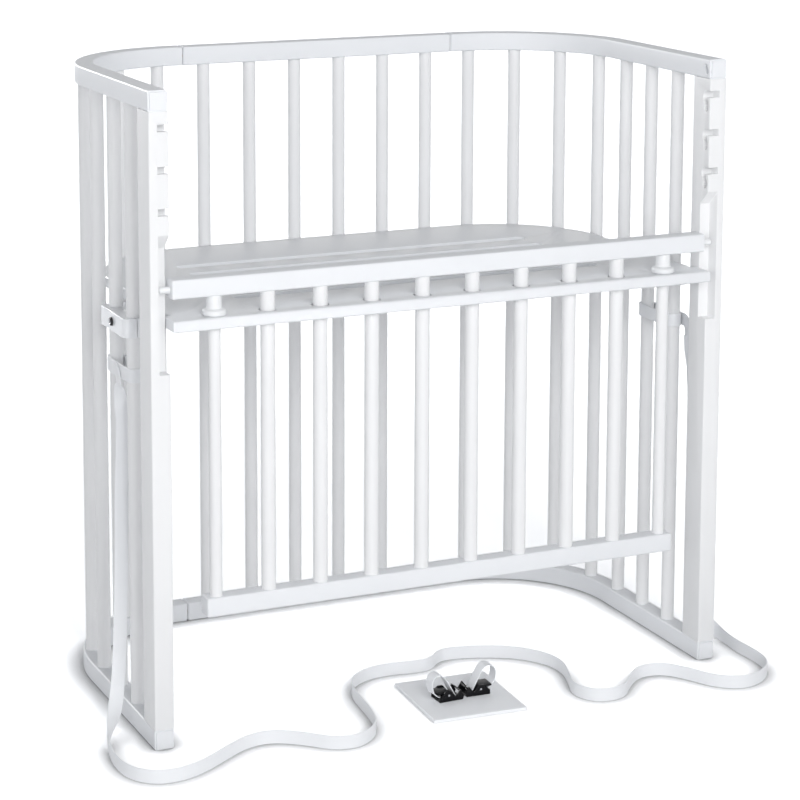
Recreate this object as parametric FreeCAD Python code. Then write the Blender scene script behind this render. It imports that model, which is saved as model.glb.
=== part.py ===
import FreeCAD, Part
import math
import os

V = FreeCAD.Vector

# Bedside sleeper crib, in millimetres.
# The origin is the centre of the frame's footprint on the floor. +X is to the right as seen
# from the open front, +Y runs to the back and +Z is up.

# U-shaped frame
FRAME_LENGTH = 890.0
FRAME_DEPTH = 494.0
FRAME_HEIGHT = 909.0
RAIL_WIDTH = 28.0
RAIL_HEIGHT = 28.6
RAIL_EDGE_BEVEL = 2.0

# Round bars between the two U rails
SPINDLE_DIAMETER = 20.0
SPINDLE_COUNT = 20
SPINDLE_FRONT_GAP = 111.3
SPINDLE_TENON = 14.0
BORE_CLEARANCE = 0.1
JOINT_AT_PITCH = 3
JOINT_BEFORE_BEND = 12.5

# Dowels that hold the rail pieces and the posts
DOWEL_DIAMETER = 8.0
DOWEL_LENGTH = 30.0
RAIL_DOWEL_SPACING = 13.0
POST_DOWEL_SPACING = 24.0
DOWEL_CLEARANCE = 0.1

# Front posts with the pockets that take the gate's pins
POST_DEPTH = 46.0
POST_EDGE_BEVEL = 1.2
NOTCH_DEPTH = 16.0
NOTCH_BELOW_RAIL = 17.0
NOTCH_PITCH = 56.5
NOTCH_COUNT = 3
NOTCH_WIDTH = 10.0
NOTCH_REACH = 18.6
NOTCH_DROP = 26.5
NOTCH_LIP = 3.6
NOTCH_STRAIGHT = 9.0
NOTCH_SLANT = 6.0
NOTCH_BEND = 5.4
REBATE_DEPTH = 20.5
REBATE_BELOW_BOARD = 74.4
REBATE_ABOVE_BOARD = 95.0
RECESS_DEPTH = 3.0
RECESS_WIDTH = 5.0
RECESS_RISE = 6.0
RECESS_INSET = 9.0

# Mattress board
BOARD_BELOW_TOP = 310.0
BOARD_THICKNESS = 16.0
BOARD_OVERHANG = 12.0
BOARD_STRIP_DEPTH = 39.0
BOARD_POST_GAP = 0.5
BOARD_SIDE_STEP = 8.5
BOARD_BACK_GAP = 3.0
BOARD_EDGE_BEVEL = 1.6
SLOT_COUNT = 5
SLOT_LENGTH = 580.0
SLOT_WIDTH = 19.0
SLOT_PITCH = 56.5
SLOT_BACK_MARGIN = 153.0

# Clamp brackets on the first two bars at each side
CLAMP_HEIGHT = 27.0
CLAMP_MARGIN = 16.0
CLAMP_OUT = 19.0
CLAMP_IN = 36.0
CLAMP_SPLIT = 0.9
CLAMP_GRIP = 0.06
CLAMP_END_ROUND = 9.0
SCREW_SHANK = 5.0
SCREW_HEAD = 8.4
SCREW_HEAD_HEIGHT = 3.0
SCREW_HEX = 4.0
SCREW_HEX_DEPTH = 2.0
SCREW_LENGTH = 40.0
BOARD_SCREW_DIAMETER = 4.0
BOARD_SCREW_HEAD = 7.6
BOARD_SCREW_LENGTH = 37.0
BOARD_SCREW_INSET = 7.0
BOARD_SCREW_SPACING = 76.0
SCREW_CLEARANCE = 0.15

# Sliding gate
BAR_COUNT = 10
BAR_END_INSET = 63.9
BAR_DIAMETER = 20.6
END_BAR_DIAMETER = 17.6
BAR_BEHIND_FRONT = 12.0
BAR_TENON = 14.0
GATE_RAIL_DEPTH = 27.0
GATE_RAIL_BEVEL = 2.0
GATE_POST_GAP = 3.0
GATE_TOP_HEIGHT = 26.5
GATE_BOTTOM_MARGIN = 16.9
GATE_BOTTOM_HEIGHT = 27.0
GATE_BAR_LENGTH = 421.0
GATE_PIN_DIAMETER = 9.4
GATE_PIN_REACH = 15.5
GATE_PIN_SEAT = 22.0
GATE_PIN_RISE = 12.0
GATE_PIN_BEVEL = 1.0
BOARD_HOLE_DIAMETER = 26.0

# Flanged bushings that the gate rests on
BUSHING_FLANGE = 33.0
BUSHING_FLANGE_HEIGHT = 8.0
BUSHING_FLANGE_BEVEL = 2.0
BUSHING_DISH = 1.0
BUSHING_RISE = 27.0
BUSHING_NECK = 21.4
BUSHING_TIP = 20.2
BUSHING_WALL_GAP = 0.2
BUSHING_BORE_GAP = 0.3

# Webbing strap, wound on two bars at each side and laid on the floor in front
STRAP_WIDTH = 20.0
STRAP_THICKNESS = 1.5
STRAP_WRAP_GAP = 0.3
STRAP_LAYER_GAP = 0.5
STRAP_BELOW_CLAMP = 55.0
STRAP_WRAP_START = 30.0
STRAP_WRAP_SHIFT = 6.0
STRAP_WRAP_RUN = 38.0
STRAP_FOLD_RADIUS = 12.0
STRAP_FOLD_STEPS = 4
STRAP_LEFT_FOLD = 42.7
STRAP_RIGHT_FOLD = -9.3

# Strap on the floor: points of its middle line, where it stands on edge
STRAP_FLOOR_ROUTE = [
    (-506.0, -231.0), (-513.0, -276.0), (-508.0, -322.0), (-481.0, -352.0), (-441.0, -354.0),
    (-400.0, -336.0), (-362.0, -309.0), (-326.0, -286.0), (-288.0, -281.0), (-250.0, -307.0),
    (-219.0, -340.0), (-181.0, -346.0), (-143.0, -316.0), (-131.0, -272.0), (-126.0, -228.0),
    (-122.0, -184.0), (-108.0, -146.0), (-74.0, -122.0), (-36.0, -117.0), (0.0, -124.0),
    (33.0, -124.0), (58.0, -94.0), (94.0, -97.0), (132.0, -110.0), (170.0, -130.0),
    (200.0, -168.0), (207.0, -210.0), (193.0, -254.0), (176.0, -296.0), (196.0, -333.0),
    (240.0, -334.0), (268.0, -300.0), (300.0, -271.0), (339.0, -274.0), (364.0, -310.0),
    (381.0, -347.0), (415.0, -371.0), (455.0, -362.0), (488.0, -330.0), (494.0, -284.0),
    (490.0, -238.0), (495.0, -200.0),
]

# Strap between the floor and the bars: how far each middle lies out of and behind the point
# that the strap turns round, its share of that point's height, and the direction of its width
STRAP_LEFT_DROP = [
    ((-3.55, -10.5, 0.9489), (0.71, -0.71, 0.0)),
    ((-6.55, -9.0, 0.8998), (1.0, 0.0, 0.0)),
    ((-6.05, -10.0, 0.8180), (1.0, 0.0, 0.0)),
    ((-2.45, -12.0, 0.6748), (1.0, 0.0, 0.0)),
    ((1.85, -22.0, 0.4990), (1.0, 0.0, 0.0)),
    ((7.95, -33.0, 0.3067), (1.0, 0.0, 0.0)),
    ((17.95, -51.0, 0.1554), (1.0, 0.0, 0.0)),
    ((27.95, -68.0, 0.0900), (0.96, 0.0, 0.28)),
    ((39.95, -89.0, 0.0491), (0.8, 0.0, 0.6)),
    ((51.95, -113.0, 0.0266), (0.4, 0.0, 0.92)),
]
STRAP_RIGHT_DROP = [
    ((48.95, -33.0, 0.0266), (0.4, 0.0, 0.92)),
    ((40.95, -19.0, 0.0491), (0.8, 0.0, 0.6)),
    ((30.95, -12.0, 0.0941), (0.96, 0.0, 0.28)),
    ((21.95, -10.0, 0.1718), (1.0, 0.0, 0.0)),
    ((16.95, -10.0, 0.3272), (1.0, 0.0, 0.0)),
    ((14.45, -10.0, 0.5317), (1.0, 0.0, 0.0)),
    ((12.95, -11.0, 0.7157), (1.0, 0.0, 0.0)),
    ((9.95, -12.0, 0.8793), (1.0, 0.0, 0.0)),
    ((4.95, -12.0, 0.9448), (0.71, -0.71, 0.0)),
]

# Loose kit on the floor: a pad, and two cam buckles with short webbing loops
PAD_LENGTH = 143.0
PAD_DEPTH = 150.0
PAD_THICKNESS = 4.5
PAD_CENTRE = (23.0, -238.0)
PAD_TURN = -3.0
PAD_ROUND = 1.0
BUCKLE_LENGTH = 37.0
BUCKLE_WIDTH = 28.0
BUCKLE_CHEEK = 2.6
BUCKLE_FLOOR = 2.4
BUCKLE_WING_HEIGHT = 15.0
BUCKLE_NOTCH_X = 11.5
BUCKLE_NOTCH_HEIGHT = 5.5
BUCKLE_HUMP_X = 22.5
BUCKLE_HUMP_HEIGHT = 15.0
BUCKLE_TAIL_HEIGHT = 6.5
BUCKLE_WING_X = 4.0
BUCKLE_LEAN = 2.0
BUCKLE_HUMP_BEFORE = 3.0
BUCKLE_HUMP_AFTER = 5.0
BUCKLE_CORNER_BEVEL = 0.7
BUCKLE_BAR_BELOW_WING = 3.0
BUCKLE_PIN_DIAMETER = 3.0
BUCKLE_PIN_Z = 9.0
LEVER_GAP = 0.4
LEVER_HUB_RADIUS = 4.6
LEVER_TEETH = 5
LEVER_TOOTH = 0.5
LEVER_FIRST_TOOTH = 150.0
LEVER_TOOTH_STEP = 22.0
LEVER_LENGTH = 18.0
LEVER_THICKNESS = 2.4
BUCKLE_PLACES = [(19.5, -240.0, 182.0), (28.6, -236.0, -2.0)]
LOOP_ROUTE = [(8.6, 3.2), (29.0, 38.5), (46.5, 36.0), (44.0, 1.2)]
LOOP_BEND = 8.5

HALF_LENGTH = FRAME_LENGTH / 2
HALF_DEPTH = FRAME_DEPTH / 2
RAIL_MIDDLE_X = HALF_LENGTH - RAIL_WIDTH / 2
RAIL_MIDDLE_Y = HALF_DEPTH - RAIL_WIDTH / 2
TOP_RAIL_Z = FRAME_HEIGHT - RAIL_HEIGHT
POST_INNER_X = HALF_LENGTH - RAIL_WIDTH
POST_BACK_Y = -HALF_DEPTH + POST_DEPTH

# The bars are spaced evenly from the front ends round the bends, and the joints come just
# before the bends. Together these give the pitch of the bars and the radius of the bends.
BEND_GAIN = math.pi / 2 - 1
HALF_PITCHES = (SPINDLE_COUNT - 1) / 2
ROUTE_OF_BARS = BEND_GAIN * RAIL_MIDDLE_X + RAIL_MIDDLE_Y + HALF_DEPTH - SPINDLE_FRONT_GAP
JOINT_SHARE = (1 - BEND_GAIN) * JOINT_BEFORE_BEND
SPINDLE_PITCH = (ROUTE_OF_BARS + JOINT_SHARE) / (HALF_PITCHES - (1 - BEND_GAIN) * JOINT_AT_PITCH)
RAIL_JOINT_X = JOINT_AT_PITCH * SPINDLE_PITCH
RAIL_CORNER_RADIUS = RAIL_MIDDLE_X - RAIL_JOINT_X - JOINT_BEFORE_BEND

NOTCH_TOP = TOP_RAIL_Z - NOTCH_BELOW_RAIL
BOARD_TOP = FRAME_HEIGHT - BOARD_BELOW_TOP
BOARD_BOTTOM = BOARD_TOP - BOARD_THICKNESS
REBATE_BOTTOM = BOARD_TOP - REBATE_BELOW_BOARD
REBATE_TOP = BOARD_TOP + REBATE_ABOVE_BOARD
BAR_Y = -HALF_DEPTH + BAR_BEHIND_FRONT
GATE_FRONT_Y = -HALF_DEPTH
GATE_TOP_LENGTH = 2 * (POST_INNER_X - GATE_POST_GAP)
GATE_TOP_Z = BOARD_TOP + BUSHING_RISE
GATE_BOTTOM_Z = GATE_TOP_Z - GATE_BAR_LENGTH
BAR_PITCH = (GATE_TOP_LENGTH - 2 * BAR_END_INSET) / (BAR_COUNT - 1)
GATE_BOTTOM_LENGTH = (BAR_COUNT - 1) * BAR_PITCH + 2 * GATE_BOTTOM_MARGIN
CLAMP_BOTTOM = BOARD_BOTTOM - CLAMP_HEIGHT
STRAP_WRAP_Z = CLAMP_BOTTOM - STRAP_BELOW_CLAMP

ON_SIDE = FreeCAD.Rotation(V(1, 1, 1), 120)
UPRIGHT = FreeCAD.Rotation(V(1, 0, 0), 90)


def save(name, shape):
    """Write one piece, as a solid or a group of solids."""
    shape.exportStep("parts/" + name + ".step")


def group(solids):
    """Separate solids kept together in one node."""
    return Part.makeCompound(solids)


def placed(shape, rotation=FreeCAD.Rotation(), position=V(0, 0, 0)):
    """The shape turned and then moved."""
    shape.Placement = FreeCAD.Placement(position, rotation).multiply(shape.Placement)
    return shape


def mirrored(shape):
    """The same piece for the other side of the crib."""
    return shape.mirror(V(0, 0, 0), V(1, 0, 0))


def box(low, high):
    """A block from its lowest to its highest corner."""
    return Part.makeBox(high[0] - low[0], high[1] - low[1], high[2] - low[2], V(*low))


def rod(diameter, start, end):
    """A round bar between two points."""
    start = V(*start)
    along = V(*end) - start
    return Part.makeCylinder(diameter / 2, along.Length, start, along)


def rounded(shape, radius, chosen):
    """Round the edges that the test picks."""
    return shape.makeFillet(radius, [edge for edge in shape.Edges if chosen(edge)])


def bevelled(shape, size, chosen):
    """Bevel the edges that the test picks."""
    return shape.makeChamfer(size, [edge for edge in shape.Edges if chosen(edge)])


def left_of(direction):
    """The direction turned a quarter turn to the left."""
    return V(-direction.y, direction.x, 0)


def unit(vector):
    """The vector at length one."""
    return V(vector).normalize()


def moved_route(points, radii, distance):
    """A route moved to its left: straight runs stay parallel and arcs stay concentric."""
    runs = [unit(after - before) for before, after in zip(points, points[1:])]
    moved = [points[0] + left_of(runs[0]) * distance]
    moved_radii = []
    for corner, radius, before, after in zip(points[1:-1], radii, runs, runs[1:]):
        bisector = left_of(before) + left_of(after)
        moved.append(corner + bisector * (distance * 2 / bisector.dot(bisector)))
        turn = math.copysign(1.0, before.cross(after).z)
        moved_radii.append(radius - turn * distance)
    moved.append(points[-1] + left_of(runs[-1]) * distance)
    return moved, moved_radii


def route_edges(points, radii):
    """Straight runs joined by tangent arcs of the given radii."""
    edges = []
    start = points[0]
    for i, radius in enumerate(radii):
        corner = points[i + 1]
        back = unit(points[i] - corner)
        on = unit(points[i + 2] - corner)
        half_angle = back.getAngle(on) / 2
        tangent = radius / math.tan(half_angle)
        middle = corner + unit(back + on) * (radius / math.sin(half_angle) - radius)
        arc_start = corner + back * tangent
        arc_end = corner + on * tangent
        if (arc_start - start).Length > 0.001:
            edges.append(Part.makeLine(start, arc_start))
        edges.append(Part.Arc(arc_start, middle, arc_end).toShape())
        start = arc_end
    edges.append(Part.makeLine(start, points[-1]))
    return edges


def band_face(points, radii, width):
    """A flat band of even width along a route."""
    points = [V(*point) for point in points]
    left = route_edges(*moved_route(points, radii, width / 2))
    right = route_edges(*moved_route(points, radii, -width / 2))
    ends = [
        Part.makeLine(left[0].Vertexes[0].Point, right[0].Vertexes[0].Point),
        Part.makeLine(left[-1].Vertexes[-1].Point, right[-1].Vertexes[-1].Point),
    ]
    edges = Part.sortEdges(left + right + ends)[0]
    return Part.Face(Part.Wire(edges))


def band(points, radii, width, height):
    """A band raised to a given height."""
    return band_face(points, radii, width).extrude(V(0, 0, height))


def free_radii(points):
    """The largest arc that the two runs at each point allow."""
    points = [V(*point) for point in points]
    radii = []
    for before, corner, after in zip(points, points[1:], points[2:]):
        shorter = min((corner - before).Length, (after - corner).Length)
        turn = (corner - before).getAngle(after - corner)
        radii.append(0.45 * shorter / math.tan(turn / 2))
    return radii


# Frame

def spindle_centre(index):
    """Where a bar stands on the middle line of the U rails."""
    along = (index - (SPINDLE_COUNT - 1) / 2) * SPINDLE_PITCH
    straight = RAIL_MIDDLE_X - RAIL_CORNER_RADIUS
    bend = RAIL_CORNER_RADIUS * math.pi / 2
    past = abs(along) - straight
    side = math.copysign(1.0, along)
    if past <= 0:
        return V(along, RAIL_MIDDLE_Y, 0)
    if past < bend:
        angle = past / RAIL_CORNER_RADIUS
        x = straight + RAIL_CORNER_RADIUS * math.sin(angle)
        y = RAIL_MIDDLE_Y - RAIL_CORNER_RADIUS * (1 - math.cos(angle))
        return V(side * x, y, 0)
    return V(side * RAIL_MIDDLE_X, RAIL_MIDDLE_Y - RAIL_CORNER_RADIUS - (past - bend), 0)


def dowel_pairs():
    """Middle points of the dowels across the rail joints, at both rails."""
    for z in (RAIL_HEIGHT / 2, FRAME_HEIGHT - RAIL_HEIGHT / 2):
        for x in (-RAIL_JOINT_X, RAIL_JOINT_X):
            for offset in (-RAIL_DOWEL_SPACING / 2, RAIL_DOWEL_SPACING / 2):
                yield V(x, RAIL_MIDDLE_Y + offset, z)


def post_dowel_points():
    """Middle points of the dowels between the left post and the two rails."""
    for z in (RAIL_HEIGHT, TOP_RAIL_Z):
        for offset in (-POST_DOWEL_SPACING / 2, POST_DOWEL_SPACING / 2):
            yield V(-RAIL_MIDDLE_X, -HALF_DEPTH + POST_DEPTH / 2 + offset, z)


def cross_dowel(point, diameter):
    """A dowel lying along a rail joint's length."""
    half = V(DOWEL_LENGTH / 2, 0, 0)
    return rod(diameter, point - half, point + half)


def post_dowel(point, diameter):
    """A dowel standing half in a rail and half in a post."""
    half = V(0, 0, DOWEL_LENGTH / 2)
    return rod(diameter, point - half, point + half)


def rail_pieces(bottom):
    """The left and back pieces of one U rail, without their bores."""
    joint = RAIL_JOINT_X
    side = [(-RAIL_MIDDLE_X, -HALF_DEPTH), (-RAIL_MIDDLE_X, RAIL_MIDDLE_Y), (-joint, RAIL_MIDDLE_Y)]
    left = band(side, [RAIL_CORNER_RADIUS], RAIL_WIDTH, RAIL_HEIGHT)
    left = bevelled(left, RAIL_EDGE_BEVEL, lambda edge: abs(edge.CenterOfMass.x + joint) > 1)
    back_edge = RAIL_MIDDLE_Y - RAIL_WIDTH / 2
    back = box((-joint, back_edge, 0), (joint, back_edge + RAIL_WIDTH, RAIL_HEIGHT))
    back = bevelled(back, RAIL_EDGE_BEVEL, lambda edge: abs(edge.CenterOfMass.x) < 1)
    lift = V(0, 0, bottom)
    return left.translated(lift), back.translated(lift)


def bored_rail(piece, bottom):
    """A rail piece with blind bores for bars and dowels."""
    into = BORE_CLEARANCE + SPINDLE_TENON
    low = RAIL_HEIGHT - into if bottom == 0 else bottom
    near = piece.BoundBox
    tools = []
    for index in range(SPINDLE_COUNT):
        centre = spindle_centre(index)
        if near.XMin < centre.x < near.XMax:
            foot = V(centre.x, centre.y, low)
            tools.append(Part.makeCylinder(SPINDLE_DIAMETER / 2 + BORE_CLEARANCE, into, foot))
    for point in dowel_pairs():
        tools.append(cross_dowel(point, DOWEL_DIAMETER + 2 * DOWEL_CLEARANCE))
    for point in post_dowel_points():
        tools.append(post_dowel(point, DOWEL_DIAMETER + 2 * DOWEL_CLEARANCE))
    return piece.cut(Part.makeCompound(tools))


def rail_recess():
    """The small slanting recess in the inner face at each front end of the top rail."""
    foot_z = TOP_RAIL_Z + (RAIL_HEIGHT - RECESS_RISE) / 2
    foot_y = -HALF_DEPTH + RECESS_INSET
    half = RECESS_RISE / 2
    route = [(foot_y, foot_z), (foot_y, foot_z + half), (foot_y + half, foot_z + RECESS_RISE)]
    face = band_face(route, [RECESS_WIDTH], RECESS_WIDTH)
    tool = face.extrude(V(0, 0, RECESS_DEPTH))
    for y, z in (route[0], route[-1]):
        tool = tool.fuse(Part.makeCylinder(RECESS_WIDTH / 2, RECESS_DEPTH, V(y, z, 0)))
    return placed(tool, ON_SIDE, V(-POST_INNER_X - RECESS_DEPTH, 0, 0))


def frame_rails():
    """Both U rails, each in three pieces."""
    for name, bottom in (("base_rail", 0.0), ("top_rail", TOP_RAIL_Z)):
        left, back = rail_pieces(bottom)
        left = bored_rail(left, bottom)
        if bottom > 0:
            left = left.cut(rail_recess())
        save(name + "_left", left)
        save(name + "_back", bored_rail(back, bottom))
        save(name + "_right", mirrored(left))


def frame_dowels():
    """Dowels of the rail joints and of the posts."""
    save("rail_joint_dowels", group([cross_dowel(point, DOWEL_DIAMETER) for point in dowel_pairs()]))
    left = [post_dowel(point, DOWEL_DIAMETER) for point in post_dowel_points()]
    save("post_dowels", group(left + [mirrored(dowel) for dowel in left]))


def spindles():
    """The round bars, seated in blind bores at both ends."""
    for index in range(SPINDLE_COUNT):
        centre = spindle_centre(index)
        foot = (centre.x, centre.y, RAIL_HEIGHT - SPINDLE_TENON)
        head = (centre.x, centre.y, TOP_RAIL_Z + SPINDLE_TENON)
        save("spindle_%02d" % (index + 1), rod(SPINDLE_DIAMETER, foot, head))


def notch_tool(top):
    """One pocket: in from the front, then down past a lip to a round seat."""
    in_z = top - NOTCH_WIDTH / 2
    back_y = -HALF_DEPTH + NOTCH_REACH - NOTCH_WIDTH / 2
    seat_y = back_y - NOTCH_LIP
    route = [
        (-HALF_DEPTH - NOTCH_WIDTH, in_z),
        (back_y, in_z),
        (back_y, in_z - NOTCH_STRAIGHT),
        (seat_y, in_z - NOTCH_STRAIGHT - NOTCH_SLANT),
        (seat_y, top - NOTCH_DROP),
    ]
    face = band_face(route, [NOTCH_BEND] * 3, NOTCH_WIDTH)
    tool = face.extrude(V(0, 0, 2 * NOTCH_DEPTH))
    seat = Part.makeCylinder(NOTCH_WIDTH / 2, 2 * NOTCH_DEPTH, V(seat_y, top - NOTCH_DROP, 0))
    return placed(tool.fuse(seat), ON_SIDE, V(-POST_INNER_X - NOTCH_DEPTH, 0, 0))


def rebate_tool():
    """The long step in the post's front inner corner, with its ramp at the top."""
    back = -HALF_DEPTH + REBATE_DEPTH
    front = -HALF_DEPTH - REBATE_DEPTH
    corners = [
        (front, REBATE_BOTTOM),
        (back, REBATE_BOTTOM),
        (back, REBATE_TOP),
        (front, REBATE_TOP + back - front),
        (front, REBATE_BOTTOM),
    ]
    face = Part.Face(Part.makePolygon([V(y, z, 0) for y, z in corners]))
    tool = face.extrude(V(0, 0, 2 * NOTCH_DEPTH))
    return placed(tool, ON_SIDE, V(-POST_INNER_X - NOTCH_DEPTH, 0, 0))


def front_posts():
    """The two front posts, mirror images of each other."""
    low = (-HALF_LENGTH, -HALF_DEPTH, RAIL_HEIGHT)
    high = (-POST_INNER_X, POST_BACK_Y, TOP_RAIL_Z)
    post = bevelled(box(low, high), POST_EDGE_BEVEL, lambda edge: edge.BoundBox.ZLength > POST_DEPTH)
    for index in range(NOTCH_COUNT):
        post = post.cut(notch_tool(NOTCH_TOP - index * NOTCH_PITCH))
    post = post.cut(rebate_tool())
    for point in post_dowel_points():
        post = post.cut(post_dowel(point, DOWEL_DIAMETER + 2 * DOWEL_CLEARANCE))
    save("front_post_left", post)
    save("front_post_right", mirrored(post))


# Platform

def bar_x(index):
    """Sideways place of a gate bar."""
    return (index - (BAR_COUNT - 1) / 2) * BAR_PITCH


def board_outline():
    """The board: a straight front strip between the posts and a U-shaped back."""
    strip_x = POST_INNER_X - BOARD_POST_GAP
    side_x = strip_x - BOARD_SIDE_STEP
    front_y = -HALF_DEPTH - BOARD_OVERHANG
    step_y = front_y + BOARD_STRIP_DEPTH
    back_y = RAIL_MIDDLE_Y - SPINDLE_DIAMETER / 2 - BOARD_BACK_GAP
    bend = RAIL_CORNER_RADIUS - RAIL_WIDTH / 2
    dip = bend * (1 - math.sqrt(0.5))
    left = [V(-side_x + bend, back_y, 0), V(-side_x + dip, back_y - dip, 0), V(-side_x, back_y - bend, 0)]
    right = [V(-point.x, point.y, 0) for point in reversed(left)]
    corners = [left[-1], V(-side_x, step_y, 0), V(-strip_x, step_y, 0), V(-strip_x, front_y, 0)]
    corners += [V(-point.x, point.y, 0) for point in reversed(corners)]
    edges = [Part.makeLine(a, b) for a, b in zip(corners, corners[1:])]
    edges += [Part.Arc(*right).toShape(), Part.makeLine(right[-1], left[0]), Part.Arc(*left).toShape()]
    return Part.Face(Part.Wire(Part.sortEdges(edges)[0]))


def slot_tool(y):
    """One long ventilation slot with round ends."""
    half = (SLOT_LENGTH - SLOT_WIDTH) / 2
    tool = box((-half, y - SLOT_WIDTH / 2, BOARD_BOTTOM - 1), (half, y + SLOT_WIDTH / 2, BOARD_TOP + 1))
    for x in (-half, half):
        tool = tool.fuse(rod(SLOT_WIDTH, (x, y, BOARD_BOTTOM - 1), (x, y, BOARD_TOP + 1)))
    return tool


def mattress_board():
    """The board that carries the mattress and guides the gate's bars."""
    board = board_outline().extrude(V(0, 0, BOARD_THICKNESS)).translated(V(0, 0, BOARD_BOTTOM))
    board = bevelled(board, BOARD_EDGE_BEVEL, lambda edge: edge.BoundBox.ZLength < 0.01)
    for index in range(SLOT_COUNT):
        board = board.cut(slot_tool(RAIL_MIDDLE_Y - SLOT_BACK_MARGIN - index * SLOT_PITCH))
    for index in range(BAR_COUNT):
        x = bar_x(index)
        board = board.cut(rod(BOARD_HOLE_DIAMETER, (x, BAR_Y, BOARD_BOTTOM - 1), (x, BAR_Y, BOARD_TOP + 1)))
    for point in board_screw_points():
        for x in (-point.x, point.x):
            hole = V(x, point.y, point.z)
            board = board.cut(board_screw_hole(hole))
    save("mattress_board", board)


def clamp_ends():
    """Front and back ends of the clamp along the frame's side."""
    front = spindle_centre(0).y - CLAMP_MARGIN
    back = spindle_centre(1).y + CLAMP_MARGIN
    return front, back


def clamp_screw_place():
    """Middle of the clamp, where its screw goes through."""
    front, back = clamp_ends()
    return V(-RAIL_MIDDLE_X, (front + back) / 2, CLAMP_BOTTOM + CLAMP_HEIGHT / 2)


def board_screw_points():
    """Undersides of the screws that hold the board on the left clamp."""
    x = -RAIL_MIDDLE_X + CLAMP_IN - BOARD_SCREW_INSET
    middle = clamp_screw_place().y
    for offset in (-BOARD_SCREW_SPACING / 2, BOARD_SCREW_SPACING / 2):
        yield V(x, middle + offset, CLAMP_BOTTOM)


def clamp_half(inner_x, outer_x, rounded_x):
    """One half of the left clamp, grooved for the two bars."""
    front, back = clamp_ends()
    low = (min(inner_x, outer_x), front, CLAMP_BOTTOM)
    high = (max(inner_x, outer_x), back, BOARD_BOTTOM)
    block = box(low, high)
    block = rounded(
        block,
        CLAMP_END_ROUND,
        lambda edge: edge.BoundBox.ZLength > 1 and abs(edge.CenterOfMass.x - rounded_x) < 0.1,
    )
    for index in (0, 1):
        centre = spindle_centre(index)
        foot = (centre.x, centre.y, CLAMP_BOTTOM - 1)
        head = (centre.x, centre.y, BOARD_BOTTOM + 1)
        block = block.cut(rod(SPINDLE_DIAMETER + 2 * CLAMP_GRIP, foot, head))
    place = clamp_screw_place()
    head_x = -RAIL_MIDDLE_X - CLAMP_OUT
    shank = (head_x + SCREW_LENGTH + SCREW_CLEARANCE, place.y, place.z)
    block = block.cut(rod(SCREW_SHANK + 2 * SCREW_CLEARANCE, (head_x, place.y, place.z), shank))
    seat = (head_x + SCREW_HEAD_HEIGHT, place.y, place.z)
    block = block.cut(rod(SCREW_HEAD + 2 * SCREW_CLEARANCE, (head_x - 1, place.y, place.z), seat))
    for point in board_screw_points():
        block = block.cut(board_screw_hole(point))
    return block


def side_clamps():
    """Two-part clamps that grip the bars and carry the board."""
    outer_x = -RAIL_MIDDLE_X - CLAMP_OUT
    inner_x = -RAIL_MIDDLE_X + CLAMP_IN
    outer = clamp_half(-RAIL_MIDDLE_X - CLAMP_SPLIT / 2, outer_x, outer_x)
    inner = clamp_half(-RAIL_MIDDLE_X + CLAMP_SPLIT / 2, inner_x, inner_x)
    save("clamp_outer_left", outer)
    save("clamp_inner_left", inner)
    save("clamp_outer_right", mirrored(outer))
    save("clamp_inner_right", mirrored(inner))


def clamp_screw():
    """A socket-head screw through the left clamp, its head sunk to the face."""
    place = clamp_screw_place()
    head_x = -RAIL_MIDDLE_X - CLAMP_OUT
    seat = (head_x + SCREW_HEAD_HEIGHT, place.y, place.z)
    screw = rod(SCREW_HEAD, (head_x, place.y, place.z), seat)
    screw = screw.fuse(rod(SCREW_SHANK, seat, (head_x + SCREW_LENGTH, place.y, place.z)))
    hexagon = [
        V(SCREW_HEX / 2 * math.cos(math.radians(60 * k)), SCREW_HEX / 2 * math.sin(math.radians(60 * k)), 0)
        for k in range(7)
    ]
    socket = Part.Face(Part.makePolygon(hexagon)).extrude(V(0, 0, SCREW_HEX_DEPTH))
    return screw.cut(placed(socket, ON_SIDE, V(head_x, place.y, place.z)))


def board_screw_profile(gap):
    """Revolved outline of a countersunk screw, standing on its head."""
    head = BOARD_SCREW_HEAD / 2 + gap
    shank = BOARD_SCREW_DIAMETER / 2 + gap
    points = [
        V(0, 0, 0), V(head, 0, 0), V(shank, 0, head - shank),
        V(shank, 0, BOARD_SCREW_LENGTH - shank), V(0, 0, BOARD_SCREW_LENGTH + gap), V(0, 0, 0),
    ]
    return Part.Face(Part.makePolygon(points)).revolve(V(0, 0, 0), V(0, 0, 1), 360)


def board_screw_hole(point):
    """The hole for a board screw."""
    return board_screw_profile(SCREW_CLEARANCE).translated(point)


def platform_screws():
    """Clamp screws and the screws up into the board."""
    screw = clamp_screw()
    save("clamp_screws", group([screw, mirrored(screw)]))
    left = [board_screw_profile(0).translated(point) for point in board_screw_points()]
    save("board_screws", group(left + [mirrored(one) for one in left]))


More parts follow.
